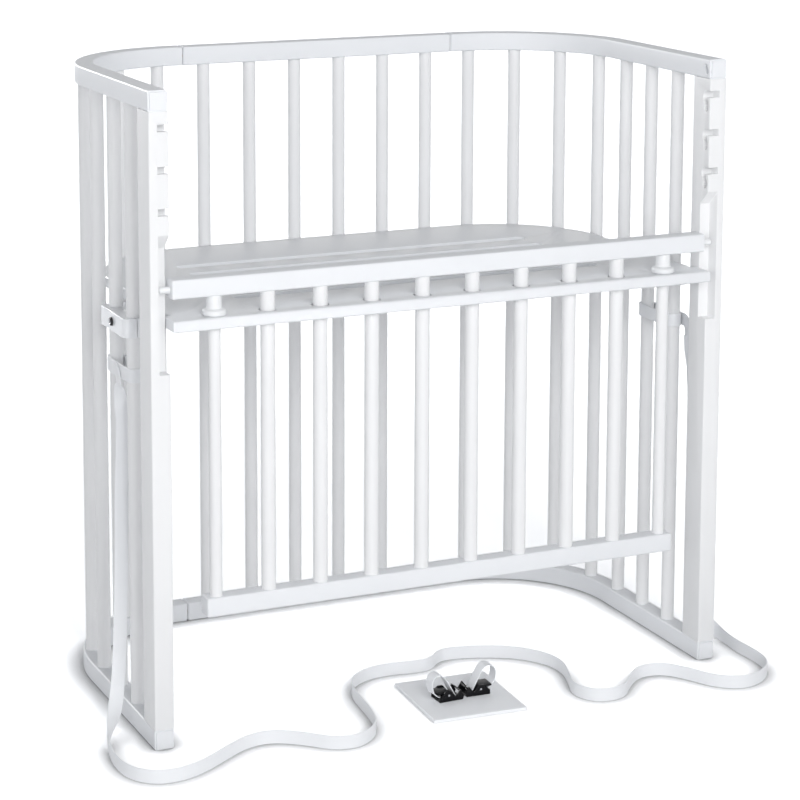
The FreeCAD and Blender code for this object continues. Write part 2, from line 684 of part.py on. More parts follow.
def gate_bushings():
    """Flanged bushings in the two end holes, which guide the gate and stop it."""
    bore = END_BAR_DIAMETER / 2 + BUSHING_BORE_GAP
    sleeve = BOARD_HOLE_DIAMETER / 2 - BUSHING_WALL_GAP
    flange = BUSHING_FLANGE / 2
    shoulder = BUSHING_FLANGE_HEIGHT
    bevel = BUSHING_FLANGE_BEVEL
    points = [
        V(flange, 0, 0), V(flange, 0, shoulder - bevel), V(flange - bevel, 0, shoulder),
        V(BUSHING_NECK / 2, 0, shoulder + BUSHING_DISH), V(BUSHING_TIP / 2, 0, BUSHING_RISE),
        V(bore, 0, BUSHING_RISE), V(bore, 0, -BOARD_THICKNESS), V(sleeve, 0, -BOARD_THICKNESS),
        V(sleeve, 0, 0), V(flange, 0, 0),
    ]
    face = Part.Face(Part.makePolygon(points))
    bushing = face.revolve(V(0, 0, 0), V(0, 0, 1), 360).translated(V(bar_x(0), BAR_Y, BOARD_TOP))
    save("gate_bushings", group([bushing, mirrored(bushing)]))


# Gate

def gate_bar_diameter(index):
    """The two end bars are thinner, to run in the bushings."""
    return END_BAR_DIAMETER if index in (0, BAR_COUNT - 1) else BAR_DIAMETER


def gate_rail(length, bottom, height, bore_from, bore_to):
    """One rail of the gate, with blind bores for its bars."""
    low = (-length / 2, GATE_FRONT_Y, bottom)
    high = (length / 2, GATE_FRONT_Y + GATE_RAIL_DEPTH, bottom + height)
    rail = bevelled(box(low, high), GATE_RAIL_BEVEL, lambda edge: True)
    tools = []
    for index in range(BAR_COUNT):
        hole = gate_bar_diameter(index) + 2 * BORE_CLEARANCE
        tools.append(rod(hole, (bar_x(index), BAR_Y, bore_from), (bar_x(index), BAR_Y, bore_to)))
    return rail.cut(Part.makeCompound(tools))


def gate():
    """The gate: two rails, ten bars and two guide pins."""
    pin_start = GATE_TOP_LENGTH / 2 - GATE_PIN_SEAT
    pin_z = GATE_TOP_Z + GATE_PIN_RISE
    bore_end = GATE_TOP_Z + BAR_TENON + BORE_CLEARANCE
    top = gate_rail(GATE_TOP_LENGTH, GATE_TOP_Z, GATE_TOP_HEIGHT, GATE_TOP_Z, bore_end)
    for side in (-1, 1):
        inner = (side * (pin_start - DOWEL_CLEARANCE), BAR_Y, pin_z)
        outer = (side * (GATE_TOP_LENGTH / 2), BAR_Y, pin_z)
        top = top.cut(rod(GATE_PIN_DIAMETER + 2 * DOWEL_CLEARANCE, inner, outer))
    save("gate_top_rail", top)
    rail_top = GATE_BOTTOM_Z
    height = GATE_BOTTOM_HEIGHT
    bore_start = rail_top - BAR_TENON - BORE_CLEARANCE
    bottom = gate_rail(GATE_BOTTOM_LENGTH, rail_top - height, height, bore_start, rail_top)
    save("gate_bottom_rail", bottom)
    for index in range(BAR_COUNT):
        foot = (bar_x(index), BAR_Y, rail_top - BAR_TENON)
        head = (bar_x(index), BAR_Y, GATE_TOP_Z + BAR_TENON)
        save("gate_bar_%02d" % (index + 1), rod(gate_bar_diameter(index), foot, head))
    reach = GATE_TOP_LENGTH / 2 + GATE_PIN_REACH
    pin = rod(GATE_PIN_DIAMETER, (-pin_start, BAR_Y, pin_z), (-reach, BAR_Y, pin_z))
    pin = bevelled(pin, GATE_PIN_BEVEL, lambda edge: abs(edge.CenterOfMass.x + reach) < 0.1)
    save("gate_pins", group([pin, mirrored(pin)]))


# Webbing strap

def strap_wrap(fold):
    """The strap wound round the left side's first two bars, as an open winding."""
    front = spindle_centre(0)
    back = spindle_centre(1)
    inner = SPINDLE_DIAMETER / 2 + STRAP_WRAP_GAP + STRAP_THICKNESS / 2
    outer = inner + STRAP_THICKNESS + STRAP_LAYER_GAP
    x = front.x
    shift_end = front.y + STRAP_WRAP_RUN
    route = [
        (x + inner, back.y - STRAP_WRAP_START),
        (x + inner, back.y + inner),
        (x - inner, back.y + inner),
        (x - inner, front.y - inner),
        (x + inner, front.y - inner),
        (x + inner, front.y + STRAP_WRAP_SHIFT),
        (x + outer, shift_end),
        (x + outer, back.y + outer),
        (x - outer, back.y + outer),
        (x - outer, front.y + fold),
    ]
    bend = STRAP_WRAP_RUN
    radii = [inner, inner, inner, inner, bend, bend, outer, outer]
    points = [V(*point) for point in route]
    bottom = STRAP_WRAP_Z - STRAP_WIDTH / 2
    print("least gap in a strap winding %.2f mm" % (outer - inner - STRAP_THICKNESS))
    return band(points, radii, STRAP_THICKNESS, STRAP_WIDTH).translated(V(0, 0, bottom))


def fold_pivot(side, fold):
    """The point that the strap turns round from level to hanging, beside the outer layer."""
    front = spindle_centre(0)
    outer = SPINDLE_DIAMETER / 2 + STRAP_WRAP_GAP + STRAP_THICKNESS * 1.5 + STRAP_LAYER_GAP
    return V(side * (outer - front.x), front.y + fold, STRAP_WRAP_Z - STRAP_FOLD_RADIUS)


def fold_stations(side, fold):
    """Sections where the strap turns from level to hanging."""
    pivot = fold_pivot(side, fold)
    stations = []
    for step in range(STRAP_FOLD_STEPS + 1):
        angle = math.radians(90.0 * step / STRAP_FOLD_STEPS)
        across = V(0, -math.sin(angle), math.cos(angle))
        stations.append((pivot + across * STRAP_FOLD_RADIUS, across, V(1, 0, 0)))
    return stations


def drop_stations(drop, pivot, before, after):
    """Sections along a hanging stretch, each square to the strap's run."""
    side = math.copysign(1.0, pivot.x)
    middles = [pivot + V(side * out, along, (share - 1) * pivot.z) for (out, along, share), across in drop]
    ends = [before] + middles + [after]
    stations = []
    for i, (place, across) in enumerate(drop):
        run = unit(ends[i + 2] - ends[i])
        across = V(*across)
        across = unit(across - run * across.dot(run))
        stations.append((middles[i], across, run.cross(across)))
    return stations


def strap_section(station):
    """The strap's rectangular section at a station."""
    middle, across, through = station
    half_width = across * (STRAP_WIDTH / 2)
    half_through = through * (STRAP_THICKNESS / 2)
    corners = [
        middle - half_width - half_through,
        middle + half_width - half_through,
        middle + half_width + half_through,
        middle - half_width + half_through,
    ]
    return Part.makePolygon(corners + corners[:1])


def floor_station(points, index, ahead):
    """The strap's section at one end of its stretch on the floor."""
    run = unit(V(*points[ahead]) - V(*points[index]))
    if ahead < index:
        run = run * -1
    up = V(0, 0, 1)
    middle = V(points[index][0], points[index][1], STRAP_WIDTH / 2)
    return (middle, up, run.cross(up))


def strap():
    """The strap's free stretch: down from the left bars, over the floor and up at the right."""
    route = STRAP_FLOOR_ROUTE
    radii = free_radii(route)
    print("strap arc radii", ["%.0f" % radius for radius in radii])
    floor = band([V(*point) for point in route], radii, STRAP_THICKNESS, STRAP_WIDTH)
    start = floor_station(route, 0, 1)
    end = floor_station(route, -1, -2)
    left_fold = fold_stations(-1, STRAP_LEFT_FOLD)
    left_pivot = fold_pivot(-1, STRAP_LEFT_FOLD)
    left = left_fold + drop_stations(STRAP_LEFT_DROP, left_pivot, left_fold[-1][0], start[0]) + [start]
    right_fold = fold_stations(1, STRAP_RIGHT_FOLD)
    right_fold.reverse()
    right_pivot = fold_pivot(1, STRAP_RIGHT_FOLD)
    right = [end] + drop_stations(STRAP_RIGHT_DROP, right_pivot, end[0], right_fold[0][0]) + right_fold
    hanging = [Part.makeLoft([strap_section(one) for one in run], True, True) for run in (left, right)]
    whole = floor.fuse(hanging)
    middle_line = route_edges([V(*point) for point in route], radii)
    length = sum(edge.Length for edge in middle_line)
    for run in (left, right):
        length += sum((b[0] - a[0]).Length for a, b in zip(run, run[1:]))
    swept = STRAP_WIDTH * STRAP_THICKNESS * length
    print("strap length %.0f mm, volume %.0f, section x length %.0f" % (length, whole.Volume, swept))
    save("strap", whole)
    save("strap_wrap_left", strap_wrap(STRAP_LEFT_FOLD))
    save("strap_wrap_right", mirrored(strap_wrap(STRAP_RIGHT_FOLD)))


# Loose kit

def on_pad(shape, place):
    """The shape set on the pad at a buckle's place."""
    x, y, turn = place
    return placed(shape, FreeCAD.Rotation(V(0, 0, 1), turn), V(x, y, PAD_THICKNESS))


def buckle_body():
    """A cam buckle's body: a floor, two cheeks with a wing and a hump, and a cross bar."""
    side = [
        V(0, 0, 0), V(BUCKLE_LENGTH, 0, 0), V(BUCKLE_LENGTH, BUCKLE_TAIL_HEIGHT, 0),
        V(BUCKLE_HUMP_X + BUCKLE_HUMP_AFTER, BUCKLE_HUMP_HEIGHT, 0),
        V(BUCKLE_HUMP_X - BUCKLE_HUMP_BEFORE, BUCKLE_HUMP_HEIGHT, 0),
        V(BUCKLE_NOTCH_X, BUCKLE_NOTCH_HEIGHT, 0), V(BUCKLE_WING_X, BUCKLE_WING_HEIGHT, 0),
        V(-BUCKLE_LEAN, BUCKLE_NOTCH_HEIGHT, 0), V(0, 0, 0),
    ]
    cheek = Part.Face(Part.makePolygon(side)).extrude(V(0, 0, BUCKLE_CHEEK))
    cheek = bevelled(
        cheek,
        BUCKLE_CORNER_BEVEL,
        lambda edge: edge.BoundBox.ZLength > BUCKLE_CHEEK / 2 and edge.CenterOfMass.y > BUCKLE_FLOOR,
    )
    cheek = placed(cheek, UPRIGHT)
    inner = BUCKLE_WIDTH / 2 - BUCKLE_CHEEK
    near = cheek.translated(V(0, -inner, 0))
    far = cheek.translated(V(0, inner + BUCKLE_CHEEK, 0))
    floor = box((0, -inner, 0), (BUCKLE_LENGTH, inner, BUCKLE_FLOOR))
    x = BUCKLE_WING_X / 2
    z = BUCKLE_WING_HEIGHT - BUCKLE_BAR_BELOW_WING
    bar = rod(BUCKLE_CHEEK, (x, -inner, z), (x, inner, z))
    body = near.fuse([far, floor, bar]).removeSplitter()
    hole = BUCKLE_PIN_DIAMETER
    half = BUCKLE_WIDTH / 2
    return body.cut(rod(hole, (BUCKLE_HUMP_X, -half, BUCKLE_PIN_Z), (BUCKLE_HUMP_X, half, BUCKLE_PIN_Z)))


def buckle_lever():
    """The cam lever: a toothed hub on the pin and a thumb plate towards the tail."""
    half = BUCKLE_WIDTH / 2 - BUCKLE_CHEEK - LEVER_GAP
    axis = V(BUCKLE_HUMP_X, -half, BUCKLE_PIN_Z)
    hub = Part.makeCylinder(LEVER_HUB_RADIUS, 2 * half, axis, V(0, 1, 0))
    plate_z = BUCKLE_PIN_Z + LEVER_HUB_RADIUS - LEVER_THICKNESS
    plate = box(
        (BUCKLE_HUMP_X, -half, plate_z),
        (BUCKLE_HUMP_X + LEVER_LENGTH, half, plate_z + LEVER_THICKNESS),
    )
    lever = hub.fuse(plate)
    for step in range(LEVER_TEETH):
        angle = math.radians(LEVER_FIRST_TOOTH + LEVER_TOOTH_STEP * step)
        ridge = axis + V(math.cos(angle), 0, math.sin(angle)) * LEVER_HUB_RADIUS
        lever = lever.fuse(Part.makeCylinder(LEVER_TOOTH, 2 * half, ridge, V(0, 1, 0)))
    bore = BUCKLE_PIN_DIAMETER / 2 + CLAMP_GRIP
    return lever.cut(Part.makeCylinder(bore, 2 * half, axis, V(0, 1, 0)))


def webbing_loop():
    """A short loop of webbing that comes up out of the buckle and over the lever to the pad."""
    face = band_face(LOOP_ROUTE, [LOOP_BEND] * 2, STRAP_THICKNESS)
    loop = placed(face.extrude(V(0, 0, STRAP_WIDTH)), UPRIGHT)
    return loop.translated(V(0, STRAP_WIDTH / 2, 0))


def loose_kit():
    """The pad with the two buckles lying on it."""
    pad = box((-PAD_LENGTH / 2, -PAD_DEPTH / 2, 0), (PAD_LENGTH / 2, PAD_DEPTH / 2, PAD_THICKNESS))
    pad = rounded(pad, PAD_ROUND, lambda edge: edge.CenterOfMass.z > PAD_THICKNESS / 4)
    save("pad", placed(pad, FreeCAD.Rotation(V(0, 0, 1), PAD_TURN), V(PAD_CENTRE[0], PAD_CENTRE[1], 0)))
    half = BUCKLE_WIDTH / 2
    ends = [(BUCKLE_HUMP_X, -half, BUCKLE_PIN_Z), (BUCKLE_HUMP_X, half, BUCKLE_PIN_Z)]
    save("buckle_bodies", group([on_pad(buckle_body(), place) for place in BUCKLE_PLACES]))
    save("buckle_pins", group([on_pad(rod(BUCKLE_PIN_DIAMETER, *ends), place) for place in BUCKLE_PLACES]))
    save("webbing_loops", group([on_pad(webbing_loop(), place) for place in BUCKLE_PLACES]))
    save("buckle_lever_left", on_pad(buckle_lever(), BUCKLE_PLACES[0]))
    save("buckle_lever_right", on_pad(buckle_lever(), BUCKLE_PLACES[1]))


os.makedirs("parts", exist_ok=True)
frame_rails()
frame_dowels()
front_posts()
spindles()
mattress_board()
side_clamps()
platform_screws()
gate_bushings()
gate()
strap()
loose_kit()
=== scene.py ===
import math

import bmesh
import bpy
from mathutils import Matrix, Vector


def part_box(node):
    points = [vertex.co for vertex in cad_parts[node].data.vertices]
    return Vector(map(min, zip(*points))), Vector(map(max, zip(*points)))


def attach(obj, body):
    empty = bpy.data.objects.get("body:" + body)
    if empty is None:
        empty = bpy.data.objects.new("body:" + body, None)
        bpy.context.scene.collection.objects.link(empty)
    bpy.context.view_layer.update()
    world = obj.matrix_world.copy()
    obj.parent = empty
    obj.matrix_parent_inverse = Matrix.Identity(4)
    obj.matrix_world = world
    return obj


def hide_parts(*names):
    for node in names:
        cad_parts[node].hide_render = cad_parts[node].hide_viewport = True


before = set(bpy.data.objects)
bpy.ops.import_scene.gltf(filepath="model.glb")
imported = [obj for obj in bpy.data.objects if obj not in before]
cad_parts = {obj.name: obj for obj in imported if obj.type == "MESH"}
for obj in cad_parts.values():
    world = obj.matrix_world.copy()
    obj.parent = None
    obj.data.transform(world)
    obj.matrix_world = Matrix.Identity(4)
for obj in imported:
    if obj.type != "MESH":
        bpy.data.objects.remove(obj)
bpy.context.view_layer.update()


# ---- View -----------------------------------------------------------------------------------
# The crib is seen from its open front, from a little to the left and from above the top rail,
# by a long lens whose frame is shifted down.

CAMERA_PLACE = (-1.48006, -3.23325, 1.32376)
CAMERA_YAW = 0.405
CAMERA_PITCH = -0.145
CAMERA_ROLL = 0.001
CAMERA_LENS = 109.19
CAMERA_SHIFT = (0.1002, -0.3434)

lens = bpy.data.cameras.new("view")
lens.sensor_width = 36
lens.lens = CAMERA_LENS
lens.shift_x, lens.shift_y = CAMERA_SHIFT
lens.clip_end = 50
camera = bpy.data.objects.new("view", lens)
camera.location = CAMERA_PLACE
turn = Matrix.Rotation(-CAMERA_YAW, 4, "Z") @ Matrix.Rotation(math.pi / 2 + CAMERA_PITCH, 4, "X")
camera.rotation_euler = (turn @ Matrix.Rotation(-CAMERA_ROLL, 4, "Z")).to_euler()
bpy.context.scene.collection.objects.link(camera)
bpy.context.scene.camera = camera


# ---- Studio ---------------------------------------------------------------------------------
# The object stands on a plain white floor in soft, even light. What the camera sees of the
# floor and of the space behind is white, apart from the object's soft shadow, which close to
# the object is painted shade: an ambient occlusion term darkens the floor's seen colour.

FLOOR_SIZE = 40.0
FLOOR_GREY = 0.85
FLOOR_SEEN_NEAR = 2.3
FLOOR_SEEN_SHADE = 0.25
FLOOR_SHADE_REACH = 0.034
FLOOR_SHADE_FALL = 2.4
FLOOR_SEEN_FAR = 4.0
FLOOR_FADE = (0.6, 2.4)
SKY_SEEN = 1.0
SEEN_BY = ("Camera", "Glossy", "Transmission")
SKY_LOW = 1.46
SKY_HIGH = 0.24
SKY_HIGH_FROM = 0.6
SKY_TINT = (0.955, 0.97, 1.0)
SOFTBOXES = (
    # name, place, aim, side, power, and whether it lights matt surfaces
    ("front_light", (-0.4, -3.1, 1.75), (0.15, 0.0, 0.4), 1.4, 43.0, True),
    ("left_light", (-3.1, -3.3, 1.1), (0.1, 0.0, 0.45), 1.6, 18.0, True),
    ("edge_light", (-1.3, 3.1, 1.75), (0.0, 0.0, 0.6), 1.1, 120.0, False),
)


class Value:
    """A socket of a node. Plain arithmetic on it adds the Math nodes."""

    def __init__(self, finish, socket):
        self.finish = finish
        self.socket = socket

    def maths(self, operation, first, second=0.0):
        return self.finish.node("ShaderNodeMath", {"operation": operation}, {0: first, 1: second})

    def __add__(self, other):
        return self.maths("ADD", self, other)

    __radd__ = __add__

    def __sub__(self, other):
        return self.maths("SUBTRACT", self, other)

    def __rsub__(self, other):
        return self.maths("SUBTRACT", other, self)

    def __mul__(self, other):
        return self.maths("MULTIPLY", self, other)

    __rmul__ = __mul__

    def __pow__(self, other):
        return self.maths("POWER", self, other)

    def __rpow__(self, other):
        return self.maths("POWER", other, self)

    def sine(self):
        return self.maths("SINE", self)

    def size(self):
        return self.maths("ABSOLUTE", self)

    def above(self, limit):
        return self.maths("GREATER_THAN", self, limit)


class Finish:
    """The nodes of one material, or of the sky."""

    def __init__(self, name, world=None):
        self.material = world or bpy.data.materials.new(name)
        self.material.use_nodes = True
        self.tree = self.material.node_tree
        self.tree.nodes.clear()

    def node(self, kind, settings=None, inputs=None, output=0):
        made = self.tree.nodes.new(kind)
        for name, value in (settings or {}).items():
            setattr(made, name, value)
        for name, value in (inputs or {}).items():
            if isinstance(value, Value):
                self.tree.links.new(value.socket, made.inputs[name])
            else:
                made.inputs[name].default_value = value
        return Value(self, made.outputs[output]) if made.outputs else None

    def place(self, stretch=(1.0, 1.0, 1.0)):
        """Object coordinates in metres, scaled along each axis."""
        spot = self.node("ShaderNodeTexCoord", output="Object")
        return self.node("ShaderNodeMapping", inputs={"Vector": spot, "Scale": stretch})

    def along(self, name):
        """The piece's own map, such as the length and width of a webbing."""
        return self.node("ShaderNodeUVMap", {"uv_map": name})

    def noise(self, where, scale, detail=2.0, roughness=0.5):
        inputs = {"Vector": where, "Scale": scale, "Detail": detail, "Roughness": roughness}
        return self.node("ShaderNodeTexNoise", inputs=inputs)

    def blend(self, share, first, second):
        """A colour between two, by a share from 0 to 1."""
        ends = [end if isinstance(end, Value) else (*end, 1.0) for end in (first, second)]
        inputs = {0: share, 6: ends[0], 7: ends[1]}
        return self.node("ShaderNodeMix", {"data_type": "RGBA"}, inputs, output=2)

    def bump(self, height, depth, strength):
        inputs = {"Height": height, "Distance": depth, "Strength": strength}
        return self.node("ShaderNodeBump", inputs=inputs)

    def surface(self, **sockets):
        """Ends the finish in a principled shader with these sockets set."""
        inputs = {name.replace("_", " "): value for name, value in sockets.items()}
        shader = self.node("ShaderNodeBsdfPrincipled", inputs=inputs)
        self.node("ShaderNodeOutputMaterial", inputs={"Surface": shader})
        return self.material


def studio_floor():
    """A plain floor that lights as pale card does and shows white, with painted contact shade."""
    mesh = bpy.data.meshes.new("studio_floor")
    half = FLOOR_SIZE / 2
    corners = [(-half, -half, 0), (half, -half, 0), (half, half, 0), (-half, half, 0)]
    mesh.from_pydata(corners, [], [(0, 1, 2, 3)])
    floor = bpy.data.objects.new("studio_floor", mesh)
    bpy.context.scene.collection.objects.link(floor)
    paint = Finish("studio_floor")
    rays = [paint.node("ShaderNodeLightPath", output="Is %s Ray" % kind) for kind in SEEN_BY]
    seen = rays[0] + rays[1] + rays[2]
    away = paint.node(
        "ShaderNodeVectorMath", {"operation": "LENGTH"}, {0: paint.place()}, output="Value"
    )
    near, far = FLOOR_FADE
    share = paint.node(
        "ShaderNodeMapRange", inputs={"Value": away, "From Min": near, "From Max": far}
    )
    # Painted shade: an ambient occlusion term darkens the seen floor colour near the object.
    clear = paint.node(
        "ShaderNodeAmbientOcclusion", {"samples": 8}, {"Distance": FLOOR_SHADE_REACH}, output="AO"
    )
    close = paint.blend(clear ** FLOOR_SHADE_FALL, (FLOOR_SEEN_SHADE,) * 3, (FLOOR_SEEN_NEAR,) * 3)
    white = paint.blend(share, close, (FLOOR_SEEN_FAR,) * 3)
    tone = paint.blend(seen, (FLOOR_GREY,) * 3, white)
    shade = paint.node("ShaderNodeBsdfDiffuse", inputs={"Color": tone})
    paint.node("ShaderNodeOutputMaterial", inputs={"Surface": shade})
    mesh.materials.append(paint.material)


def sky():
    """Even light from all round, with plain white where the camera looks past the object."""
    world = bpy.data.worlds.new("studio_sky")
    bpy.context.scene.world = world
    air = Finish("studio_sky", world)
    rays = [air.node("ShaderNodeLightPath", output="Is %s Ray" % kind) for kind in SEEN_BY]
    way = air.node("ShaderNodeTexCoord", output="Generated")
    rise = air.node("ShaderNodeSeparateXYZ", inputs={"Vector": way}, output="Z")
    level = air.node(
        "ShaderNodeMapRange",
        inputs={"Value": rise, "From Max": SKY_HIGH_FROM, "To Min": SKY_LOW, "To Max": SKY_HIGH},
    )
    light = air.node("ShaderNodeBackground", inputs={"Color": (*SKY_TINT, 1.0), "Strength": level})
    white = air.node("ShaderNodeBackground", inputs={"Color": (1, 1, 1, 1), "Strength": SKY_SEEN})
    seen = rays[0] + rays[1] + rays[2]
    mix = air.node("ShaderNodeMixShader", inputs={0: seen, 1: light, 2: white})
    air.node("ShaderNodeOutputWorld", inputs={"Surface": mix})


def softbox(name, place, aim, size, power, diffuse):
    """A square lamp. With diffuse off it shows only as highlights on edges and curves."""
    lamp = bpy.data.lights.new(name, "AREA")
    lamp.shape = "SQUARE"
    lamp.size = size
    lamp.energy = power
    holder = bpy.data.objects.new(name, lamp)
    holder.location = place
    holder.rotation_euler = (Vector(aim) - Vector(place)).to_track_quat("-Z", "Y").to_euler()
    holder.visible_diffuse = diffuse
    bpy.context.scene.collection.objects.link(holder)


bpy.context.scene.view_settings.view_transform = "Standard"
studio_floor()
sky()
for lamp in SOFTBOXES:
    softbox(*lamp)


# ---- Lacquered wood -------------------------------------------------------------------------
# The frame and the gate are beech under white satin lacquer, a little warmer on upright pieces.
# Close up the film has a faint orange peel and a sheen that varies a bit, and the grain shows
# through as fine low ridges along each piece.

LACQUER_LIGHT = (0.84, 0.853, 0.872)
LACQUER_DEEP = (0.80, 0.814, 0.836)
UPRIGHT_LIGHT = (0.862, 0.864, 0.868)
UPRIGHT_DEEP = (0.824, 0.827, 0.832)
GRAIN_STRETCH = 0.06
GRAIN_FINENESS = 900.0
PEEL_FINENESS = 420.0
CLOUD_FINENESS = 9.0
LACQUER_RELIEF = 0.00006
LACQUER_ROUGH = 0.44
LACQUER_COAT = 0.05
MERGE_REACH = 1e-6
FLAT_WITHIN = 1.0


def white_lacquer(name, grain, rough=LACQUER_ROUGH, coat=LACQUER_COAT):
    """The finish for pieces whose grain runs along X, Y or Z."""
    paint = Finish(name)
    stretch = tuple(GRAIN_STRETCH if axis == grain else 1.0 for axis in "XYZ")
    ridges = paint.noise(paint.place(stretch), GRAIN_FINENESS, 3.0, 0.6)
    peel = paint.noise(paint.place(), PEEL_FINENESS, 1.0)
    cloud = paint.noise(paint.place(), CLOUD_FINENESS, 2.0)
    height = ridges * 0.6 + peel * 0.4
    upright = grain == "Z"
    deep, light = (UPRIGHT_DEEP, UPRIGHT_LIGHT) if upright else (LACQUER_DEEP, LACQUER_LIGHT)
    return paint.surface(
        Base_Color=paint.blend(cloud, deep, light),
        Roughness=rough + peel * 0.14,
        Normal=paint.bump(height, LACQUER_RELIEF, 0.5),
        Specular_IOR_Level=0.24,
        Coat_Weight=coat,
        Coat_Roughness=0.2,
    )


lacquer = {grain: white_lacquer("white_lacquer_" + grain.lower(), grain) for grain in "XYZ"}


def add_piece(name, mesh, body, finish, slot, *nodes):
    """Puts a finished mesh in the scene in place of the CAD nodes that it stands for."""
    piece = bpy.data.objects.new(name, mesh)
    mesh.materials.clear()
    mesh.materials.append(finish)
    for face in mesh.polygons:
        face.material_index = 0
    bpy.context.scene.collection.objects.link(piece)
    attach(piece, body)
    if nodes:
        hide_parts(*nodes)
    return piece


def soften(mesh, angle=35.0):
    """Smooth shading with the edges over this angle kept crisp."""
    mesh.polygons.foreach_set("use_smooth", [True] * len(mesh.polygons))
    mesh.set_sharp_from_angle(angle=math.radians(angle))
    mesh.update()


def merged_copy(node):
    """A closed copy of a CAD node's loose triangles, with flat areas as single faces."""
    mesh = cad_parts[node].data.copy()
    mesh.name = node
    work = bmesh.new()
    work.from_mesh(mesh)
    bmesh.ops.remove_doubles(work, verts=work.verts, dist=MERGE_REACH)
    bmesh.ops.dissolve_limit(
        work, angle_limit=math.radians(FLAT_WITHIN), verts=work.verts, edges=work.edges
    )
    work.to_mesh(mesh)
    work.free()
    return mesh


def bevelled(mesh, width, segments=3, angle=40.0):
    """Rounds the crisp edges of a mesh."""
    work = bmesh.new()
    work.from_mesh(mesh)
    limit = math.radians(angle)
    crisp = [e for e in work.edges if len(e.link_faces) == 2 and e.calc_face_angle(0) > limit]
    bmesh.ops.bevel(
        work, geom=crisp, offset=width, segments=segments, profile=0.5, affect="EDGES",
        clamp_overlap=True,
    )
    work.to_mesh(mesh)
    work.free()


# ---- U rails --------------------------------------------------------------------------------
# The base and top rails are bent beech, each doweled up from a back piece and two L-shaped side
# pieces. Edges are rounded, and each joint shows as a fine line between small bevels.

RAIL_WIDTH = 0.028
RAIL_HEIGHT = 0.0286
RAIL_ROUND = 0.0028
RAIL_CORNER = 0.192
RAIL_MIDDLE = (0.431, 0.233)
RAIL_FRONT = -0.247
RAIL_JOINT = 0.2265
JOINT_BEVEL = 0.0014
JOINT_GAP = 0.0005
FRONT_ROUND = 0.0024
RECESS_FOOT = (-0.2375, 0.8905)
RECESS_WIDTH = 0.0075
RECESS_DEPTH = 0.007
RECESS_RISE = 0.008
RECESS_OVERCUT = 0.004
BEECH_DEEP = (0.55, 0.36, 0.2)
BEECH_LIGHT = (0.72, 0.52, 0.32)
BEECH_FINENESS = 60.0


class Tree:
    """A geometry node tree with named size inputs, run once on a start curve."""

    def __init__(self, name, **sizes):
        self.group = bpy.data.node_groups.new(name, "GeometryNodeTree")
        self.group.interface.new_socket("Geometry", in_out="INPUT", socket_type="NodeSocketGeometry")
        self.group.interface.new_socket("Geometry", in_out="OUTPUT", socket_type="NodeSocketGeometry")
        self.sizes = sizes
        for size, value in sizes.items():
            kind = "NodeSocketInt" if isinstance(value, int) else "NodeSocketFloat"
            self.group.interface.new_socket(size, in_out="INPUT", socket_type=kind)
        self.start = self.group.nodes.new("NodeGroupInput")
        self.end = self.group.nodes.new("NodeGroupOutput")

    def size(self, name):
        return self.start.outputs[name]

    def node(self, kind, settings=None, inputs=None, output=0):
        made = self.group.nodes.new(kind)
        for name, value in (settings or {}).items():
            setattr(made, name, value)
        for name, value in (inputs or {}).items():
            if isinstance(value, bpy.types.NodeSocket):
                self.group.links.new(value, made.inputs[name])
            else:
                made.inputs[name].default_value = value
        return made.outputs[output]

    def mesh(self, result, start):
        """Runs the tree on an object and gives back the plain mesh."""
        self.group.links.new(result, self.end.inputs[0])
        holder = bpy.data.objects.new(self.group.name, start)
        bpy.context.scene.collection.objects.link(holder)
        steps = holder.modifiers.new("steps", "NODES")
        steps.node_group = self.group
        for item in self.group.interface.items_tree:
            if item.in_out == "INPUT" and item.name in self.sizes:
                steps[item.identifier] = self.sizes[item.name]
        depsgraph = bpy.context.evaluated_depsgraph_get()
        mesh = bpy.data.meshes.new_from_object(holder.evaluated_get(depsgraph))
        holder.modifiers.clear()
        bpy.data.objects.remove(holder)
        mesh.name = self.group.name
        return mesh


def start_line(name, points):
    """A curve of straight runs for a tree to work on."""
    curve = bpy.data.curves.new(name, "CURVE")
    curve.dimensions = "3D"
    run = curve.splines.new("POLY")
    run.points.add(len(points) - 1)
    for point, place in zip(run.points, points):
        point.co = (*place, 1.0)
    return curve


def rail_mesh(name, route, finish):
    """A rounded rectangular section swept along a route with one bent corner."""
    tree = Tree(name, Width=RAIL_WIDTH, Height=RAIL_HEIGHT, Round=RAIL_ROUND, Corner=RAIL_CORNER)
    bent = tree.node(
        "GeometryNodeFilletCurve", {"mode": "POLY"},
        {"Curve": tree.start.outputs[0], "Radius": tree.size("Corner"), "Count": 48},
    )
    level = tree.node("GeometryNodeSetCurveNormal", {"mode": "Z_UP"}, {"Curve": bent})
    section = tree.node(
        "GeometryNodeCurvePrimitiveQuadrilateral",
        inputs={"Width": tree.size("Width"), "Height": tree.size("Height")},
    )
    rounded = tree.node(
        "GeometryNodeFilletCurve", {"mode": "POLY"},
        {"Curve": section, "Radius": tree.size("Round"), "Count": 5},
    )
    swept = tree.node(
        "GeometryNodeCurveToMesh",
        inputs={"Curve": level, "Profile Curve": rounded, "Fill Caps": True},
    )
    real = tree.node("GeometryNodeRealizeInstances", inputs={"Geometry": swept})
    painted = tree.node("GeometryNodeSetMaterial", inputs={"Geometry": real, "Material": finish})
    return tree.mesh(painted, start_line(name, route))


def rounded_ends(mesh):
    """Rounds the rail's front end and bevels its joint ends."""
    work = bmesh.new()
    work.from_mesh(mesh)
    bmesh.ops.remove_doubles(work, verts=work.verts, dist=MERGE_REACH)
    for cap in [face for face in work.faces if len(face.verts) > 4]:
        offset, steps = (FRONT_ROUND, 5) if abs(cap.normal.y) > 0.9 else (JOINT_BEVEL, 3)
        bmesh.ops.bevel(work, geom=list(cap.edges), offset=offset, segments=steps, affect="EDGES")
    bmesh.ops.recalc_face_normals(work, faces=work.faces)
    work.to_mesh(mesh)
    work.free()
    soften(mesh)
    return mesh


